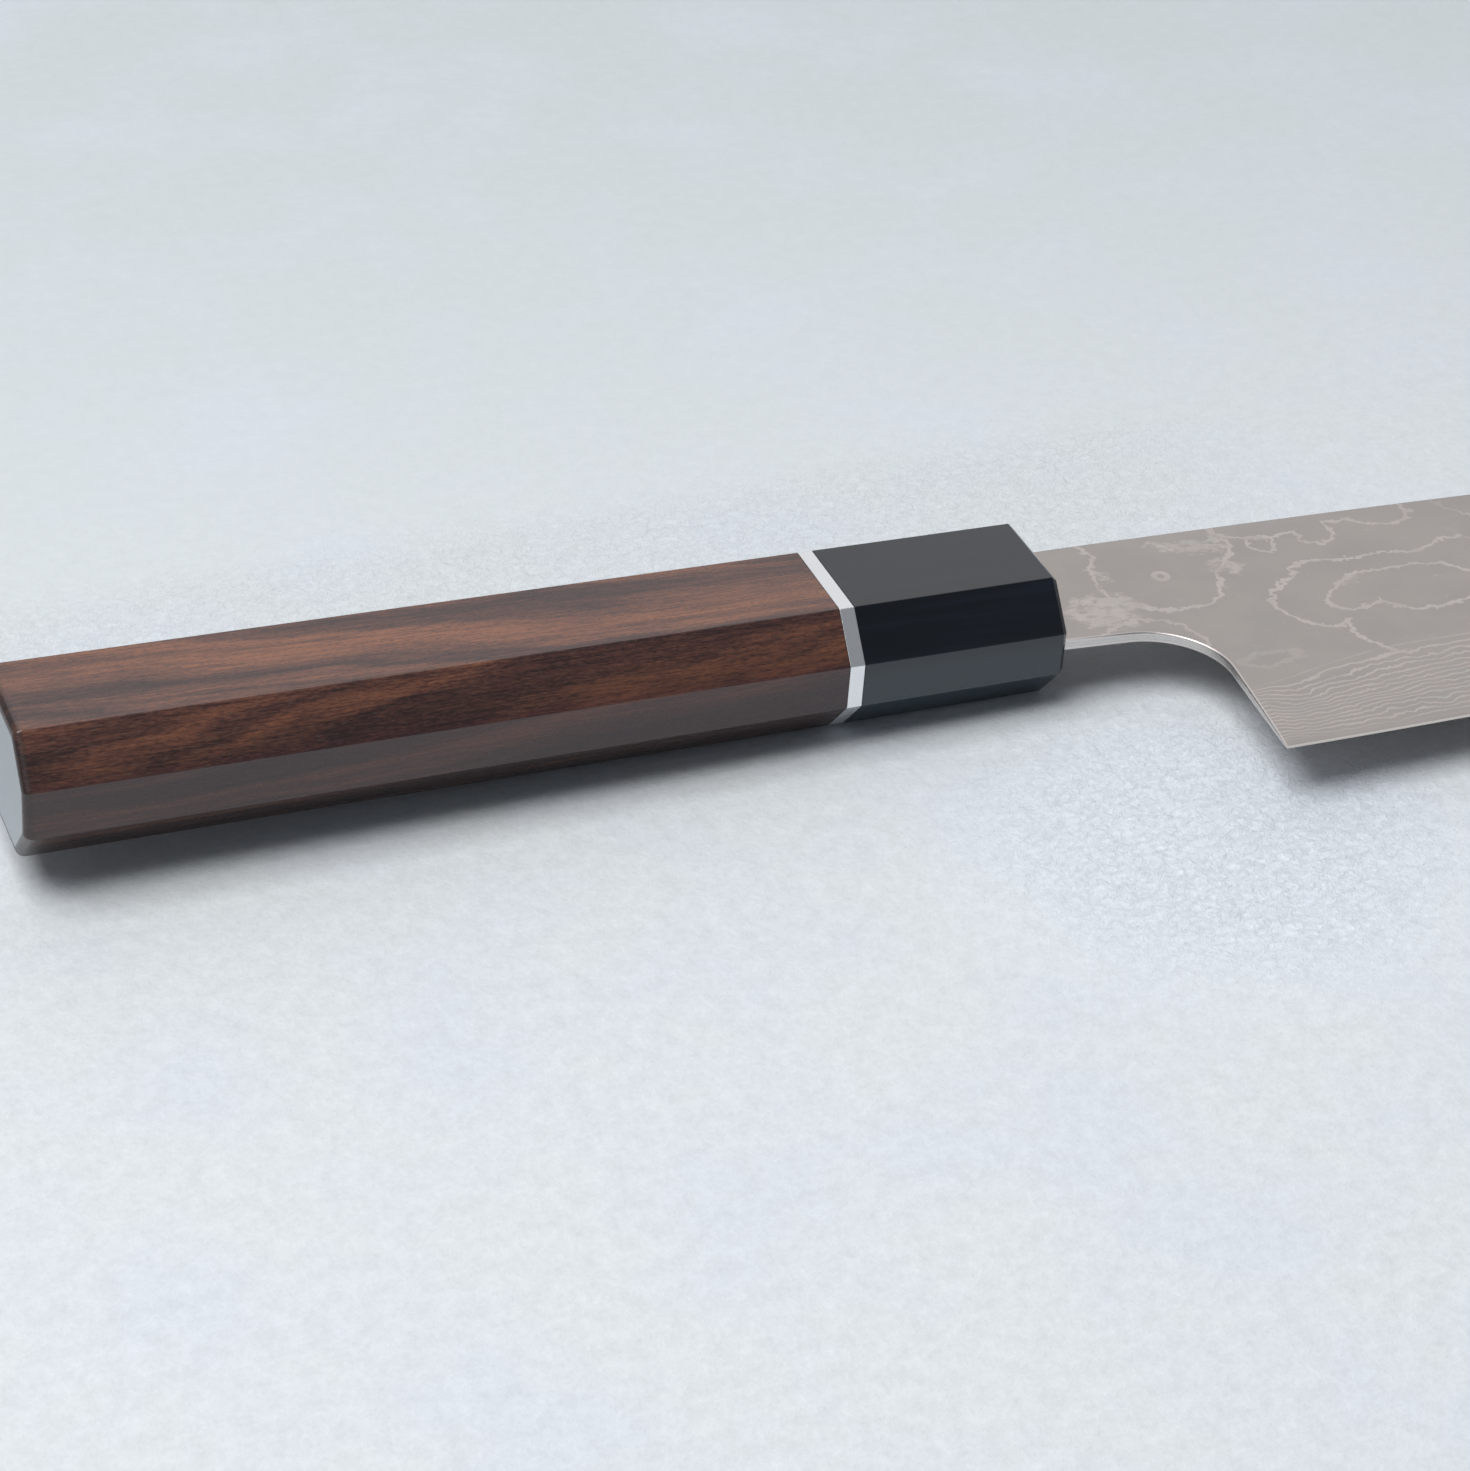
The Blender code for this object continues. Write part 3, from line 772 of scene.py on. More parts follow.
def spine_height(x):
    """Y of the spine at a station."""
    share = max(x - MOUTH, 0) / (TIP - MOUTH)
    return SPINE_AT_MOUTH - SPINE_SLOPE * (x - MOUTH) - SPINE_DROP * share**3


def edge_height(x):
    """Y of the cutting edge at a station; at the heel it is a straight run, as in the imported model."""
    ahead = max(x - HEEL, 0)
    belly = BELLY_RISE * (ahead / EDGE_LENGTH) ** 6
    curve = EDGE_SLOPE * ahead + EDGE_CURVE * ahead**2 + belly
    straight = HEEL_RUN_SLOPE * (x - (MOUTH + HEEL) / 2)
    return max(curve, straight) - HEEL_DROP


def border(start, end, holds):
    """The last number that something holds for and the first that it doesn't, found by halving."""
    for _ in range(HALVINGS):
        middle = (start + end) / 2
        if holds(middle):
            start = middle
        else:
            end = middle
    return start, end


# The blade ends where its edge meets its spine.
BLADE_TIP, _ = border(HEEL, TIP + EDGE_LENGTH, lambda x: edge_height(x) < spine_height(x))
HEEL_SPINE = spine_height(HEEL)
BLADE_HEIGHT = HEEL_SPINE + HEEL_DROP
print(f"The blade is {BLADE_HEIGHT:.1f} mm high at the heel and ends {BLADE_TIP:.1f} mm from the butt.")

# %% Thickness across the blade
HALF_PER_Y = (HALF_AT_SPINE - HALF_AT_HEEL) / BLADE_HEIGHT
TIP_FALL = HALF_AT_TIP - HALF_AT_SPINE - HALF_PER_Y * (spine_height(BLADE_TIP) - HEEL_SPINE)
HALF_PER_X = TIP_FALL / (BLADE_TIP - HEEL)


def half_blade(x, y):
    """Half the thickness of the flat part."""
    return HALF_AT_SPINE + HALF_PER_X * max(x - HEEL, 0) + HALF_PER_Y * (y - HEEL_SPINE)


def bevel_at(x):
    """Y of the cutting edge, and how high the bevel is above it."""
    bottom = edge_height(x)
    return bottom, (spine_height(x) - bottom) * BEVEL_HEIGHT / BLADE_HEIGHT


def bevel_share(x, y):
    """0 on the cutting edge, 1 where the bevel meets the flat."""
    bottom, bevel = bevel_at(x)
    return min(max((y - bottom) / bevel, 0), 1) if bevel > 0 else 1


def convex(share):
    """How much of the flat's thickness the bevel has at a share of its height."""
    return (1 - (1 - share) ** 2) ** BEVEL_CONVEXITY


def outer_half(x, y):
    """Half the thickness, with the convex bevel."""
    return half_blade(x, y) * convex(bevel_share(x, y))


def core_half(x, y):
    """Half the core's thickness: bare at the sharpened edge, then a share of the whole."""
    share = bevel_share(x, y)
    if share <= BARE_SHARE:
        return outer_half(x, y)
    if share >= CLAD_SHARE:
        return CORE_SHARE * outer_half(x, y)
    flat = half_blade(x, y)
    bare = flat * convex(BARE_SHARE)
    clad = CORE_SHARE * flat * convex(CLAD_SHARE)
    return bare + (clad - bare) * (share - BARE_SHARE) / (CLAD_SHARE - BARE_SHARE)


print(f"At the heel the blade is {2 * half_blade(HEEL, HEEL_SPINE):.2f} mm thick at the spine.")

# %% [markdown]
# ## Choil, neck and tang
# Between the handle and the heel the steel is cut back in a smooth curve, the choil, where a finger rests.
# Makers round and polish its edges and the spine's, because a sharp corner there would cut. The curve is
# a straight neck, an arc and a straight run to the heel. Drawn again a little further in, the same three
# pieces give the lines on which the eased edge is lifted.

# %% Lines round the choil
NECK_ANGLE = math.atan(NECK_SLOPE)
ARC_STATION = MOUTH + CHOIL_AHEAD - CHOIL_RADIUS
NECK_AT_ARC = -NECK_UNDERSIDE - NECK_SLOPE * (ARC_STATION + math.sin(NECK_ANGLE) * CHOIL_RADIUS - MOUTH)
CHOIL_CENTRE = Vector((ARC_STATION, NECK_AT_ARC - math.cos(NECK_ANGLE) * CHOIL_RADIUS))
HEEL_POINT = Vector((HEEL, -HEEL_DROP))
to_heel = HEEL_POINT - CHOIL_CENTRE
ARC_FIRST = math.pi / 2 - NECK_ANGLE
ARC_LAST = math.atan2(to_heel.y, to_heel.x) + math.acos(CHOIL_RADIUS / to_heel.length)
DOWN_TO_HEEL = Vector((math.sin(ARC_LAST), -math.cos(ARC_LAST)))
CHOIL_POINTS = 64


def spoke(angle):
    return Vector((math.cos(angle), math.sin(angle)))


def choil_line(inside):
    """The choil from the ferrule to the heel, moved into the steel by a distance."""
    radius = CHOIL_RADIUS + inside
    arc = [
        CHOIL_CENTRE + spoke(ARC_FIRST + (ARC_LAST - ARC_FIRST) * step / CHOIL_POINTS) * radius
        for step in range(CHOIL_POINTS + 1)
    ]
    back = Vector((-math.cos(NECK_ANGLE), math.sin(NECK_ANGLE)))
    to_shoulder = (arc[0].x - SHOULDER) / -back.x
    along = (HEEL_POINT - arc[-1]).dot(DOWN_TO_HEEL)
    return [arc[0] + back * to_shoulder] + arc + [arc[-1] + DOWN_TO_HEEL * along]


def depth_from_choil(x, y):
    """How far inside the steel a point lies, measured from the choil's line."""
    away = Vector((x, y)) - CHOIL_CENTRE
    neck = away.dot(spoke(ARC_FIRST)) - CHOIL_RADIUS
    heel = away.dot(spoke(ARC_LAST)) - CHOIL_RADIUS
    if away.x * math.cos(NECK_ANGLE) - away.y * math.sin(NECK_ANGLE) < 0:
        return neck
    if away.dot(DOWN_TO_HEEL) > 0:
        return heel
    return away.length - CHOIL_RADIUS


print("The choil's arc ends at", tuple(round(length, 2) for length in choil_line(0)[-2]))

# %% Outline of a layer
EDGE_POINTS = 150
EASED = 0.20
EASE_RINGS = (0.04, 0.15, 0.32, 0.55, 0.8, 1.0, 1.25)  # lines on the eased edge, in its radii
LAST_STATION = BLADE_TIP - TIP_BLUNT


def stations(start, end):
    """Stations from start to end, closer together towards the tip."""
    turns = [math.pi / 2 * i / EDGE_POINTS for i in range(EDGE_POINTS + 1)]
    return [start + (end - start) * math.sin(turn) for turn in turns]


def tang_outline():
    """From the lower shoulder back round the tang's end to the upper shoulder."""
    corner = TANG_END_RADIUS * (1 - math.sqrt(0.5))
    lower = [
        (SHOULDER, -TANG_HALF_MOUTH),
        (TANG_END + TANG_END_RADIUS, -TANG_HALF_END),
        (TANG_END + corner, -TANG_HALF_END + corner),
        (TANG_END, TANG_END_RADIUS - TANG_HALF_END),
    ]
    return [Vector(p) for p in lower] + [Vector((x, -y)) for x, y in reversed(lower)]


def share_line(share, start, end):
    """A line along the blade at one share of the bevel's height."""
    heights = [(x, *bevel_at(x)) for x in stations(start, end)]
    return [Vector((x, bottom + bevel * share)) for x, bottom, bevel in heights]


def layer_outline(lowest_share):
    """The blade from above the heel round by the tip, the spine, the tang and the choil."""
    bottom = share_line(lowest_share, HEEL, LAST_STATION)
    spine = [Vector((x, spine_height(x))) for x in reversed(stations(SHOULDER, LAST_STATION))]
    choil = choil_line(0)
    last, before = choil[-1], choil[-2]
    lift = (bottom[0].y - last.y) / (before.y - last.y)
    choil[-1] = last.lerp(before, lift)
    bottom[0] = choil[-1]
    return bottom + spine + tang_outline()[::-1] + choil[:-1]


print("A layer's outline has", len(layer_outline(0)), "points.")

# %% [markdown]
# ## A layer as a lifted drawing
# The outline and some lines inside it go to Blender's flat triangulation. The lines are what gives the
# surface its form: they follow the bevel, and they crowd where an edge is eased. The top and the bottom of
# a layer are the same triangles lifted to two heights, with a wall between them round the outline.

# %% Fill a drawing with triangles and lift it
BEVEL_LINES = (0.0225, 0.045, 0.08, 0.12, 0.18, 0.26, 0.36, 0.48, 0.6, 0.72, 0.84, 0.92, 1.0, 1.02)
KEEP_INSIDE = 1
SAME_POINT = 0.00001
EASED_SHARE = 0.62
AT_SHOULDER = 0.0001
PAST_OUTLINE = 1.0
BEHIND_HEEL = 14.0


def drawn_triangles(outline, lines):
    """Points and triangles of an outline, with the lines as edges."""
    points = list(outline)
    edges = []
    for line in lines:
        first = len(points)
        points += line
        edges += [(i, i + 1) for i in range(first, len(points) - 1)]
    outline_face = [list(range(len(outline)))]
    filled = geometry.delaunay_2d_cdt(points, edges, outline_face, KEEP_INSIDE, SAME_POINT)
    inside = [face for face, source in zip(filled[2], filled[5]) if source]
    return filled[0], inside


def eased_height(x, y, inner):
    """The outer height, rounded down along the spine and the choil."""
    full = outer_half(x, y)
    radius = min(EASED, EASED_SHARE * (full - inner))
    depth = min(depth_from_choil(x, y), spine_height(x) - y)
    if depth >= radius or x < SHOULDER + AT_SHOULDER or radius <= 0:
        return full
    depth = max(depth, 0)
    return full - radius + math.sqrt(radius**2 - (radius - depth) ** 2)


def lifted(points, triangles, top, bottom):
    """A closed mesh between two heights over the same triangles."""
    shape = bmesh.new()
    used = sorted({i for triangle in triangles for i in triangle})
    upper = {i: shape.verts.new((*points[i], top(*points[i]))) for i in used}
    lower = {i: shape.verts.new((*points[i], bottom(*points[i]))) for i in used}
    uses = {}
    for triangle in triangles:
        shape.faces.new([upper[i] for i in triangle])
        shape.faces.new([lower[i] for i in reversed(triangle)])
        for a, b in zip(triangle, triangle[1:] + triangle[:1]):
            uses.setdefault(frozenset((a, b)), []).append((a, b))
    for sides in uses.values():
        if len(sides) == 1:
            a, b = sides[0]
            shape.faces.new((upper[b], upper[a], lower[a], lower[b]))
    return mesh_of("layer", shape)


def shape_lines():
    """Lines along the bevel, and beside the spine and the choil."""
    last = LAST_STATION + PAST_OUTLINE
    lines = [share_line(share, HEEL - BEHIND_HEEL, last) for share in BEVEL_LINES]
    along_spine = stations(SHOULDER - PAST_OUTLINE, last)
    for ring in EASE_RINGS:
        inside = EASED * ring
        lines.append([Vector((x, spine_height(x) - inside)) for x in along_spine])
        lines.append(choil_line(inside))
    return lines


print("The bevel is drawn with", len(BEVEL_LINES), "lines.")

# %% [markdown]
# ## Damascus steel
# The cladding is forged from many thin layers of two steels, and etched so that one of them stays lighter.
# Hammering had buckled the layers before they were ground flat, so the flat cuts them as a flat sheet of
# water cuts hilly ground: each light layer shows as the shore of an island, with pale patches where it
# lies almost level. The bevel cuts down through the layers and shows many close wavy lines. A marbled
# noise would give lines without that order. So each island is a few ovals that are joined, in places
# listed one by one, and the same two noises buckle all of them. A light line is drawn along each shore.

# %% Islands and patches on the flat
# Each oval: its centre along and up the blade, its half length, its half width and its turn in degrees.
# Each island: how clearly its shore shows, from 0 to 1, and its ovals.
ISLANDS = (
    (1.0, ((148.2, 1.5, 8.0, 8.6, 0), (150.5, 10.0, 9.0, 8.0, 0), (155.5, 4.2, 5.6, 3.2, 25))),
    (1.0, ((165.3, 4.8, 1.9, 2.0, 0),)),
    (
        1.0,
        (
            (166.5, 9.6, 6.5, 3.6, 0),
            (172.8, 7.4, 2.9, 3.8, 0),
            (178.5, 12.0, 6.0, 4.0, 0),
            (183.6, 8.6, 4.4, 3.2, -6),
        ),
    ),
    (
        1.0,
        (
            (170.0, -4.5, 4.6, 4.0, 0),
            (178.0, -6.5, 10.0, 6.2, 0),
            (190.0, -8.5, 18.0, 8.5, 0),
            (166.6, -9.4, 6.6, 5.4, 0),
            (174.0, -17.5, 7.2, 6.5, 0),
            (186.0, -19.0, 14.0, 7.0, 0),
        ),
    ),
    (1.0, ((176.0, -7.4, 6.0, 3.0, 0), (171.0, -9.6, 3.9, 2.4, 20), (181.0, -9.4, 8.0, 4.8, 0))),
    (0.35, ((153.6, -19.7, 4.2, 1.5, 0),)),
    (0.8, ((140.6, -14.8, 7.4, 7.0, 0),)),
)
# Ovals in which pale patches are likelier, because a light layer lies almost level there.
PATCHES = (
    (138.5, -4.5, 5.5, 4.2, 0),
    (158.0, 1.2, 2.4, 2.4, 0),
    (155.5, 6.8, 6.4, 2.2, -15),
    (141.4, 3.0, 1.4, 3.0, 0),
    (171.5, -6.0, 1.8, 1.2, 40),
)
# This one is so small that the noises would tear it, so it is drawn unbuckled.
SMALL_RING = (148.8, 1.1, 0.85, 0.85, 0)
ON_THE_SIDE = (1, 1, 0)


def inside_ovals(tree, place, ovals):
    """About how many millimetres a place lies inside the nearest of some ovals, below 0 outside them."""
    depth = None
    for centre_x, centre_y, half_length, half_width, turn in ovals:
        laid = {"Vector": place, "Location": (centre_x, centre_y, 0)}
        laid["Rotation"] = (0, 0, math.radians(turn))
        laid["Scale"] = (half_length, half_width, 1)
        away = tree.node("ShaderNodeMapping", {"vector_type": "TEXTURE"}, laid)
        reach = tree.node("ShaderNodeVectorMath", {"operation": "LENGTH"}, {0: away}, output=1)
        inside = (1 - reach) * min(half_length, half_width)
        depth = inside if depth is None else depth.at_least(inside)
    return depth


print("The flat has", len(ISLANDS), "islands.")

# %% [markdown]
# ## Layers in the bevel
# The bevel starts at the same share of the blade's height everywhere, so its lines follow the edge. The
# finish repeats the formulas of the edge and the spine as node sums, and counts the layers down from the
# bevel's upper end. The photograph shows only the start of the right side. Further on, and on the left
# side, the flat gets the level lines of a slow noise, so that the pattern goes on to the tip.

# %% The height in layers
LAYERS_IN_BEVEL = 17.0
BEVEL_CROWDING = 1.3
LAYERED_HEIGHT = 17.0
LAYERED_HEIGHT_AT_HEEL = 12.5
LEFT_SIDE_SHIFT = 60
PUSH_BROAD = 3.4
PUSH_FINE = 2.3


def up_the_bevel(x, y, height):
    """0 on the cutting edge and 1 at a height above it, as numbers of the finish."""
    ahead = (x - HEEL).at_least(0)
    belly = (ahead / EDGE_LENGTH) ** 6 * BELLY_RISE
    bottom = ahead * EDGE_SLOPE + ahead * ahead * EDGE_CURVE + belly - HEEL_DROP
    share = ((x - MOUTH) / (TIP - MOUTH)).at_least(0)
    top = SPINE_AT_MOUTH - (x - MOUTH) * SPINE_SLOPE - share * share * share * SPINE_DROP
    return ((y - bottom) / ((top - bottom).at_least(1) / BLADE_HEIGHT * height)).within(0, 1)


def buckled(tree, place):
    """The place on the blade as the hammered layers have it, and 1 on the left side or 0 on the right."""
    x, y, z = tree.parts(place)
    left_side = z.math("LESS_THAN", 0)
    sheet = tree.vector(x, y, left_side * LEFT_SIDE_SHIFT)
    broad = tree.noise(sheet, 0.16, output=1)
    fine = tree.noise(sheet, 0.75, detail=3.0, roughness=0.55, output=1)
    bent = tree.pushed(sheet, broad, (PUSH_BROAD, PUSH_BROAD, 0))
    bent = tree.pushed(bent, fine, (PUSH_FINE, PUSH_FINE, 0))
    back = -(PUSH_BROAD + PUSH_FINE) / 2
    return tree.moved(bent, (back, back, 0)), left_side


def shore_lines(tree, bent, shore_half):
    """The islands' shores on the right side."""
    flat = tree.stretched(bent, ON_THE_SIDE)
    shores = None
    for clearness, ovals in ISLANDS:
        from_shore = abs(inside_ovals(tree, flat, ovals))
        shore = from_shore.step(shore_half * 1.5, shore_half * 0.7) * clearness
        shores = shore if shores is None else shores.at_least(shore)
    return shores


def level_lines(tree, bent):
    """Lines of one height in a slow noise, for the flat that the photograph doesn't show."""
    height = tree.noise(tree.moved(bent, (0, 0, 31)), 0.045) * 9
    return height.math("PINGPONG", 0.5).step(0.075, 0.02)


def bevel_lines(tree, x, y, place, from_choil):
    """The close lines in the bevel, which turn up towards the choil."""
    top = x.step(144, 172) * (LAYERED_HEIGHT - LAYERED_HEIGHT_AT_HEEL) + LAYERED_HEIGHT_AT_HEEL
    down = 1 - up_the_bevel(x, y, top)
    ripple = tree.streaks(place, (0.09, 0.18, 1)) - 0.5
    kinks = tree.streaks(place, (0.5, 0.24, 1), roughness=0.6) - 0.5
    upturn = from_choil.step(5, 0) * 1.8
    buckling = (ripple * 3.8 + kinks * 1.6 + upturn) * down.step(0, 0.2)
    layers = down**BEVEL_CROWDING * LAYERS_IN_BEVEL + buckling
    share = tree.streaks(place, (0.5, 1.2, 1)) * 0.14 + 0.08
    line = layers.math("PINGPONG", 0.5).step(share * 1.4, share * 0.6)
    return line * down.step(0.0, 0.04)


print("The bevel has", LAYERS_IN_BEVEL, "light layers.")

# %% [markdown]
# ## The steel's colour and polish
# The etched steel is a warm grey with clouds of slightly different hue, and the light layers stand a hair
# above it. The rounded edges along the choil and the neck are polished bright, so the finish also works
# out how deep in the steel a point lies, with the formula that shaped those edges.

# %% Damascus finish
SHORE_HALF = 0.30


def depth_from_choil_numbers(x, y):
    """How far inside the steel a point lies from the choil's line, as numbers of the finish."""
    from_x, from_y = x - CHOIL_CENTRE.x, y - CHOIL_CENTRE.y
    arc = (from_x * from_x + from_y * from_y) ** 0.5 - CHOIL_RADIUS
    to_neck, to_heel_run = spoke(ARC_FIRST), spoke(ARC_LAST)
    neck = from_x * to_neck.x + from_y * to_neck.y - CHOIL_RADIUS
    heel = from_x * to_heel_run.x + from_y * to_heel_run.y - CHOIL_RADIUS
    on_neck = (from_x * math.cos(NECK_ANGLE) - from_y * math.sin(NECK_ANGLE)).math("LESS_THAN", 0)
    on_heel = (from_x * to_heel_run.y - from_y * to_heel_run.x).math("GREATER_THAN", 0)
    past_arc = arc + (neck - arc) * on_neck
    return past_arc + (heel - past_arc) * on_heel * (1 - on_neck)


def damascus():
    material, tree, place = new_finish("damascus_steel")
    x, y, _ = tree.parts(place)
    bent, left_side = buckled(tree, place)
    up = up_the_bevel(x, y, LAYERED_HEIGHT)
    on_flat = up.step(0.80, 1.0)
    ragged = tree.noise(place, 1.7, detail=3.0, roughness=0.6)
    shown = 1 - x.step(188, 200).at_least(left_side)
    shores = shore_lines(tree, bent, (ragged * 2.2 - 0.25) * SHORE_HALF) * shown
    lines = shores.at_least(level_lines(tree, bent) * (1 - shown)) * on_flat
    from_ring = abs(inside_ovals(tree, tree.stretched(place, ON_THE_SIDE), [SMALL_RING]))
    lines = lines.at_least(from_ring.step(0.50, 0.28) * shown)
    smear = tree.streaks(place, (0.55, 0.95, 1), detail=5.0, roughness=0.68)
    in_patch = inside_ovals(tree, tree.stretched(bent, ON_THE_SIDE), PATCHES).within(-0.7, 1.2)
    patches = (smear + in_patch * 0.15).step(0.50, 0.75) * shown
    flecks = tree.streaks(place, (0.5, 2.0, 1)).step(0.74, 0.80) * 0.5
    lines = lines.at_least(patches).at_least(flecks * on_flat)
    fading = tree.noise(tree.moved(place, (9, 5, 0)), 0.22).step(0.25, 0.65) * 0.45 + 0.55
    from_choil = depth_from_choil_numbers(x, y)
    light = (lines * fading).at_least(bevel_lines(tree, x, y, place, from_choil) * fading * 0.85)
    light = light * up.step(0.03, 0.16)
    clouds = tree.streaks(place, (0.10, 0.14, 1), detail=3.0, roughness=0.55)
    hue = tree.streaks(tree.moved(place, (40, 0, 0)), (0.16, 0.2, 1))
    dark = tree.mixed(clouds.step(0.3, 0.7), (0.460, 0.418, 0.392, 1), (0.500, 0.450, 0.420, 1))
    dark = tree.mixed(hue.step(0.5, 0.8) * 0.35, dark, (0.462, 0.446, 0.410, 1))
    pale = tree.mixed(hue.step(0.60, 0.75), (0.675, 0.605, 0.560, 1), (0.625, 0.612, 0.560, 1))
    color = tree.mixed(light, dark, pale)
    grind = tree.streaks(place, (7.0, 0.5, 7.0), roughness=0.6)
    polished = from_choil.step(0.36, 0.12)
    color = tree.mixed(polished * 0.8, color, (0.80, 0.74, 0.70, 1))
    roughness = 0.33 + light * 0.07 + (grind - 0.5) * 0.06
    bump = tree.bump(0.10, 0.00002, light * 0.7 + grind * 0.25)
    close_finish(tree, Base_Color=color, Metallic=1.0, Roughness=roughness, Normal=bump)
    return material


damascus_finish = damascus()
print("Damascus has", len(damascus_finish.node_tree.nodes), "nodes.")

# %% [markdown]
# ## Core steel
# Only the sharpened edge shows the hard core: a line a third of a millimetre wide, stoned bright. Fine
# scratches run across the edge, as a whetstone leaves them.

# %% Core steel finish
def core_steel_finish():
    material, tree, place = new_finish("core_steel")
    scratches = tree.streaks(place, (9.0, 0.7, 0.7), detail=3.0, roughness=0.6)
    color = tree.mixed(scratches, (0.62, 0.585, 0.55, 1), (0.70, 0.665, 0.63, 1))
    bump = tree.bump(0.08, 0.00001, scratches)
    close_finish(tree, Base_Color=color, Metallic=1.0, Roughness=0.20 + scratches * 0.12, Normal=bump)
    return material


core_finish = core_steel_finish()
print("Core steel has", len(core_finish.node_tree.nodes), "nodes.")

# %% [markdown]
# ## The two claddings
# A cladding lies on each side of the core. It thins to nothing just above the cutting edge, where grinding
# has laid the core bare, and it ends where its thickness reaches the weld. That place has no simple
# formula, so it is found by halving an interval. The left cladding is the right one mirrored, as both
# sides are ground alike.

# %% The two claddings
def cladding_inner(x, y):
    """The cladding's inner face, a weld line away from the core."""
    weld = WELD_LINE * half_blade(x, y) / HALF_AT_HEEL
    return min(core_half(x, y) + weld, outer_half(x, y))


def is_ground_away(share):
    """Whether the cladding has no thickness left at a share of the bevel's height."""
    y = edge_height(HEEL) + BEVEL_HEIGHT * share
    return cladding_inner(HEEL, y) >= outer_half(HEEL, y)


_, FEATHER_SHARE = border(BARE_SHARE, CLAD_SHARE, is_ground_away)
clad_points, clad_triangles = drawn_triangles(layer_outline(FEATHER_SHARE), shape_lines())
right_mesh = lifted(
    clad_points, clad_triangles, lambda x, y: eased_height(x, y, cladding_inner(x, y)), cladding_inner
)
damascus_right = plain_piece("damascus_cladding_right", right_mesh, damascus_finish)
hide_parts("damascus_right")
left_mesh = right_mesh.copy()
left_mesh.transform(Matrix.Diagonal((1, 1, -1, 1)))
damascus_left = plain_piece("damascus_cladding_left", left_mesh, damascus_finish)
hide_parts("damascus_left")

# %% [markdown]
# ## The core
# The core is one piece of steel from the tang's end to the tip. It could be two halves joined at the
# middle, but the same drawing lifted up and down at once gives one closed solid and no seam along the edge.

# %% The core
core_points, core_triangles = drawn_triangles(layer_outline(0), shape_lines())
core_mesh = lifted(core_points, core_triangles, core_half, lambda x, y: -core_half(x, y))
core_steel = plain_piece("hard_core_steel", core_mesh, core_finish)
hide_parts("core_steel")

# %% [markdown]
# ## The pieces inside the handle
# A wooden dowel joins body, ring and ferrule, and resin holds the tang in the dowel's slot. Nobody sees
# them until the knife is taken apart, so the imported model's plain solids are good enough. They still get
# finishes of their own: pale, straight-grained wood, and amber resin with a few bubbles.

# %% Dowel and resin finishes
def dowel_wood():
    material, tree, place = new_finish("dowel_wood")
    fibres = tree.streaks(place, (0.12, 1.8, 1.8), detail=4.0, roughness=0.6)
    rings = tree.streaks(place, (0.01, 0.9, 0.25))
    color = tree.mixed(rings.step(0.35, 0.65), (0.44, 0.29, 0.15, 1), (0.56, 0.40, 0.22, 1))
    color = tree.dimmed(color, fibres * 0.5 + 0.75)
    bump = tree.bump(0.3, 0.00005, fibres)
    close_finish(tree, Base_Color=color, Roughness=0.55 + fibres * 0.2, Normal=bump)
    return material


def resin():
    material, tree, place = new_finish("resin")
    clouds = tree.noise(place, 0.4, detail=3.0)
    bubbles = tree.noise(place, 2.5, detail=1.0).step(0.70, 0.76)
    color = tree.mixed(clouds.step(0.3, 0.7), (0.50, 0.37, 0.16, 1), (0.60, 0.47, 0.24, 1))
    color = tree.mixed(bubbles * 0.6, color, (0.78, 0.70, 0.52, 1))
    bump = tree.bump(0.2, 0.00005, bubbles)
    close_finish(tree, Base_Color=color, Roughness=0.30 + clouds * 0.2, Normal=bump)
    return material


for name, finish in (("handle_dowel", dowel_wood()), ("tang_adhesive", resin())):
    for material_slot in nodes[name].material_slots:
        material_slot.material = finish
    print(name, "has a finish of", len(finish.node_tree.nodes), "nodes.")

# %% [markdown]
# ## Camera
# The picture is taken from the near side of the handle with a longish lens, about half a metre away. A
# camera could be given three angles, but those say little to a reader. Here it has a place, a point on the
# surface that it looks at, and a small roll.

# %% Camera
CAMERA_PLACE = Vector((-0.25688, -0.39875, 0.29721))
CAMERA_AIM = Vector((-0.08861, 0.00889, 0))
CAMERA_ROLL = 2.275
LENS = 106.68

camera_data = bpy.data.cameras.new("camera")
camera_data.sensor_fit = "HORIZONTAL"
camera_data.sensor_width = 36
camera_data.lens = LENS
camera_data.clip_start = 0.01
camera_data.clip_end = 20
camera = placed("camera", camera_data)
looking = (CAMERA_AIM - CAMERA_PLACE).to_track_quat("-Z", "Y").to_matrix()
rolled = looking @ Matrix.Rotation(math.radians(CAMERA_ROLL), 3, "Z")
camera.matrix_world = Matrix.Translation(CAMERA_PLACE) @ rolled.to_4x4()
scene.camera = camera
print(f"The camera is {(CAMERA_AIM - CAMERA_PLACE).length:.3f} m from what it looks at.")

# %% [markdown]
# ## Floor
# The knife lies on a pale, slightly bluish plaster surface. It has faint clouds and a fine grain that is
# softer at the back, and it is crinkled in a strip behind the handle and round the heel. Its colour is
# painted lighter towards the front, a painted falloff of the light; the grain and the crinkles are painted
# darker in their pits, a painted shade; and round the heel the colour is painted lighter and bluer, painted
# light. A plain white plane would do for the light, but the grain is what shows how large the knife is.

# %% Floor
FLOOR_HALF = 4.0
HEEL_ON_FLOOR = to_frame @ HEEL_POINT.to_3d()
HEEL_ON_FLOOR.z = 0
CRINKLED_AT = HEEL_ON_FLOOR + Vector((-0.010, -0.004, 0))


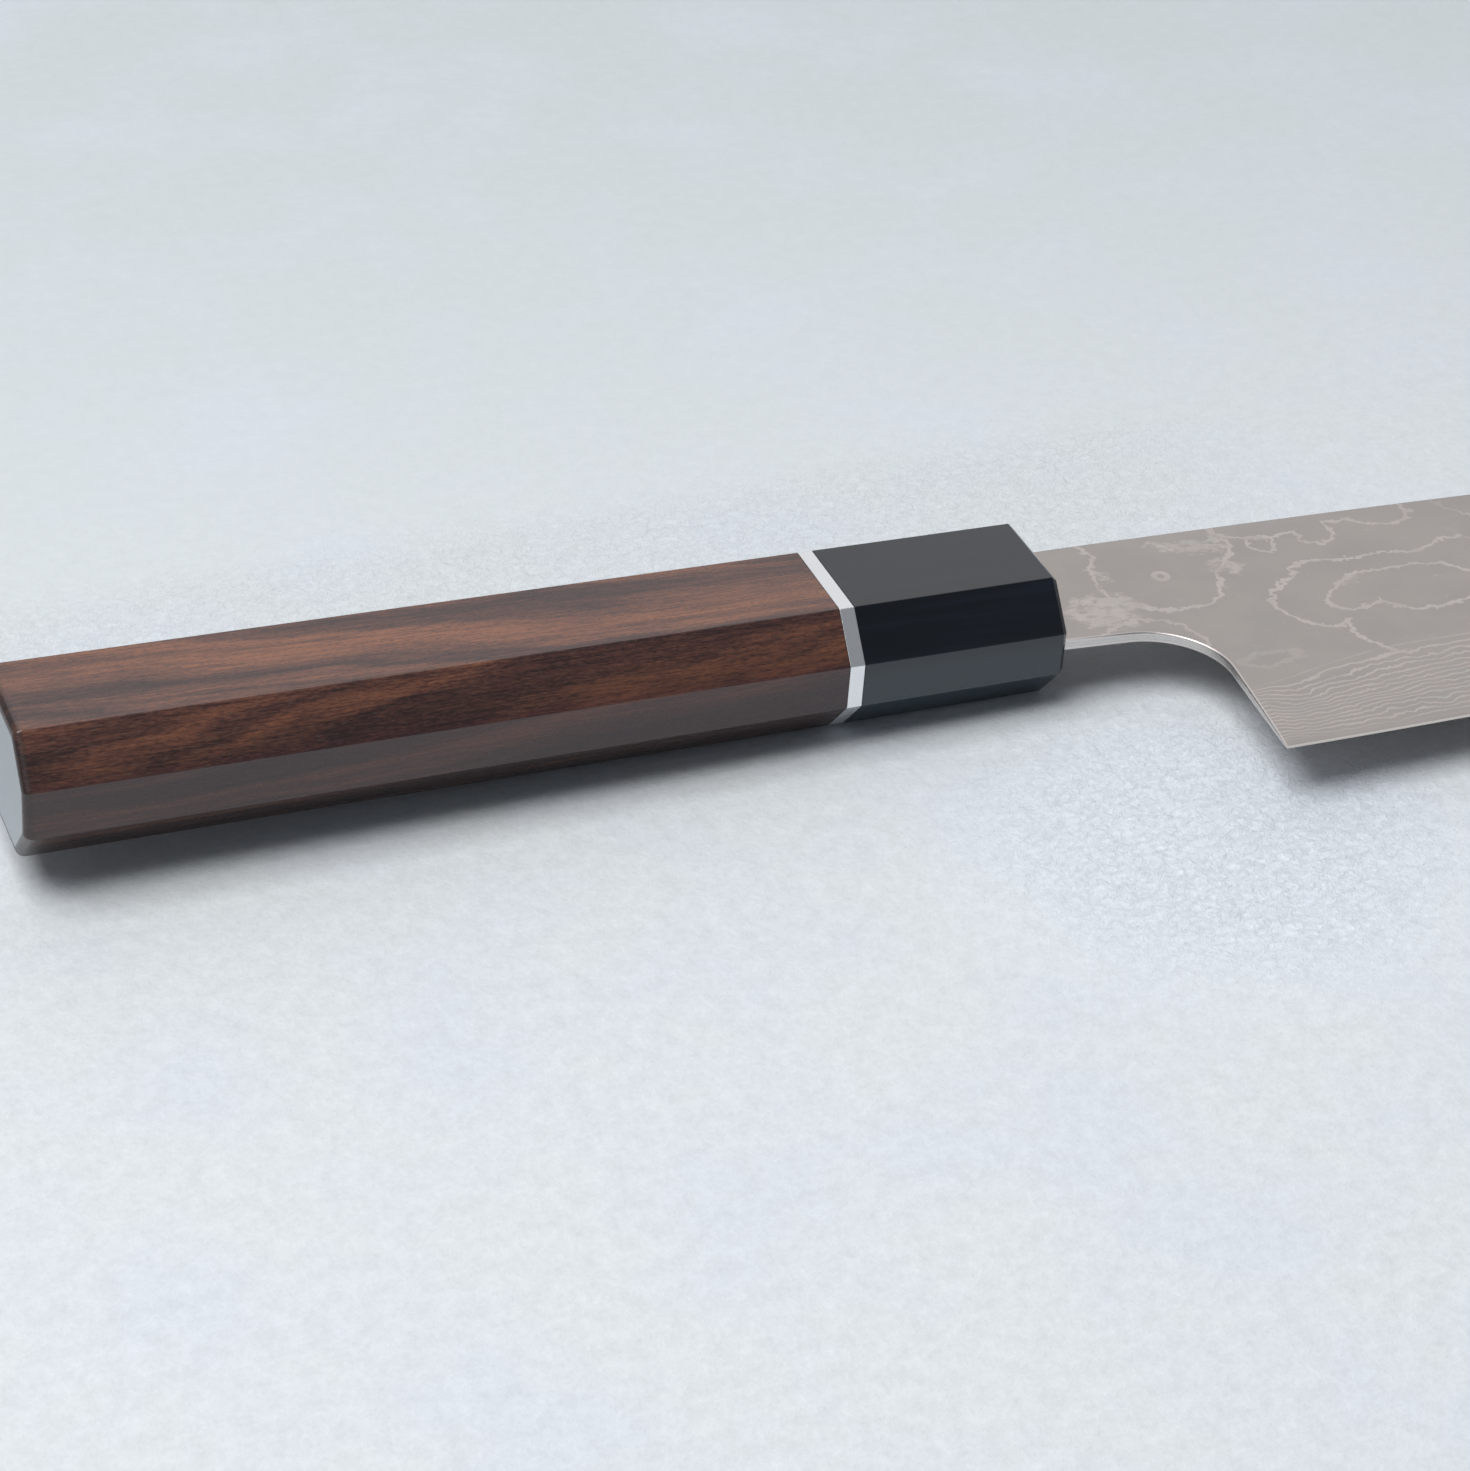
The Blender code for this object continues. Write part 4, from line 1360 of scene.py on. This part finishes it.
def floor_finish():
    material = bpy.data.materials.new("pale_floor")
    tree = blank_tree(material)
    place = tree.node("ShaderNodeTexCoord", output="Object")
    x, y, _ = tree.parts(place)
    clouds = tree.noise(place, 34.0, detail=3.0, roughness=0.6)
    mottle = tree.noise(place, 380.0, detail=3.0, roughness=0.6)
    grain = tree.noise(place, 1150.0, detail=3.0, roughness=0.6)
    crinkles = tree.noise(place, 850.0, detail=4.0, roughness=0.75, distortion=1.3)
    # Painted light: the floor is lighter towards the front and darker towards the back, a painted falloff.
    color = tree.mixed(y.step(0.24, -0.08), tone(206, 212, 213), tone(222, 226, 228))
    color = tree.mixed(clouds.step(0.38, 0.66) * 0.3, color, tone(216, 221, 232))
    settings = {"operation": "DISTANCE"}
    from_patch = tree.node("ShaderNodeVectorMath", settings, {0: place, 1: CRINKLED_AT}, output=1)
    behind = y.step(0.018, 0.028) * y.step(0.072, 0.058) * x.step(0.03, -0.03)
    round_heel = from_patch.step(0.042, 0.012)
    crinkled = (behind * 0.6).at_least(round_heel)
    # Painted light: the floor round the heel is painted lighter and bluer than the rest.
    color = tree.mixed(round_heel * 0.7, color, tone(230, 236, 244))
    rough = y.step(0.10, 0.0) * 0.6 + 0.4
    # Partly the plaster's own speckle, partly painted shade: the grain and the crinkles are darker in their
    # pits
    # and lighter on their rises, as their relief would be shaded, and the crinkles are painted a little
    # lighter.
    speckle_and_pit_shade = ((mottle - 0.5) * 0.22 + (grain - 0.5) * 0.16) * rough
    color = tree.dimmed(color, speckle_and_pit_shade + (crinkles - 0.43) * crinkled * 0.5 + 1)
    relief = (grain * 0.2 + mottle * 0.5) * rough + crinkles * crinkled
    bump = tree.bump(0.7, 0.0006, relief)
    close_finish(tree, Base_Color=color, Roughness=0.55, Normal=bump, Specular_IOR_Level=0.3)
    return material


floor_mesh = bpy.data.meshes.new("floor")
signs = ((-1, -1), (1, -1), (1, 1), (-1, 1))
floor_corners = [(FLOOR_HALF * x, FLOOR_HALF * y, 0) for x, y in signs]
floor_mesh.from_pydata(floor_corners, [], [(0, 1, 2, 3)])
floor_mesh.materials.append(floor_finish())
floor = placed("floor", floor_mesh)
print("The heel hovers over", tuple(round(length, 4) for length in HEEL_ON_FLOOR))

# %% [markdown]
# ## Lights
# Two softboxes light the knife: a wide one behind it, which the flats facing up reflect, and a smaller one
# above its left, which throws the soft shadows towards the viewer. The room round them is a dim bluish
# grey, and darker above the camera. The bevels that lean towards the camera mirror that part of the room,
# so it is what makes them dark beside the flats.

# %% Lights
BACK_POWER = 5.4
LEFT_POWER = 14.0


def softbox(name, direction, distance, width, height, power, color=(1, 1, 1)):
    """A soft rectangular lamp that faces the knife."""
    data = bpy.data.lights.new(name, "AREA")
    data.shape = "RECTANGLE"
    data.size, data.size_y = width, height
    data.energy = power
    data.color = color
    lamp = placed(name, data)
    aim = Vector(direction).normalized()
    lamp.location = aim * distance
    lamp.rotation_euler = aim.to_track_quat("Z", "Y").to_euler()


softbox("back_softbox", (0.30, 0.78, 0.62), 1.6, 2.2, 1.4, BACK_POWER, (1, 0.98, 0.965))
softbox("left_softbox", (-0.42, -0.03, 0.90), 1.25, 0.9, 0.9, LEFT_POWER)
print(f"The softboxes shine with {BACK_POWER} and {LEFT_POWER} watts.")

# %% The room
ROOM_COLOR = (0.22, 0.24, 0.27)
ABOVE_CAMERA = (0.0, -0.49, 0.87)


def studio_room():
    """A world of one soft tone, darker in one direction."""
    world = bpy.data.worlds.new("studio")
    tree = blank_tree(world)
    toward = tree.node("ShaderNodeTexCoord", output="Generated")
    settings = {"operation": "DOT_PRODUCT"}
    nearness = tree.node("ShaderNodeVectorMath", settings, {0: toward, 1: ABOVE_CAMERA}, output=1)
    color = tree.dimmed(ROOM_COLOR, 1 - nearness.step(0.70, 0.95) * 0.5)
    background = tree.node("ShaderNodeBackground", {}, {"Color": color})
    tree.node("ShaderNodeOutputWorld", {}, {0: background})
    return world


scene.world = studio_room()
scene.view_settings.view_transform = "Standard"
print("The room's tone is", ROOM_COLOR)
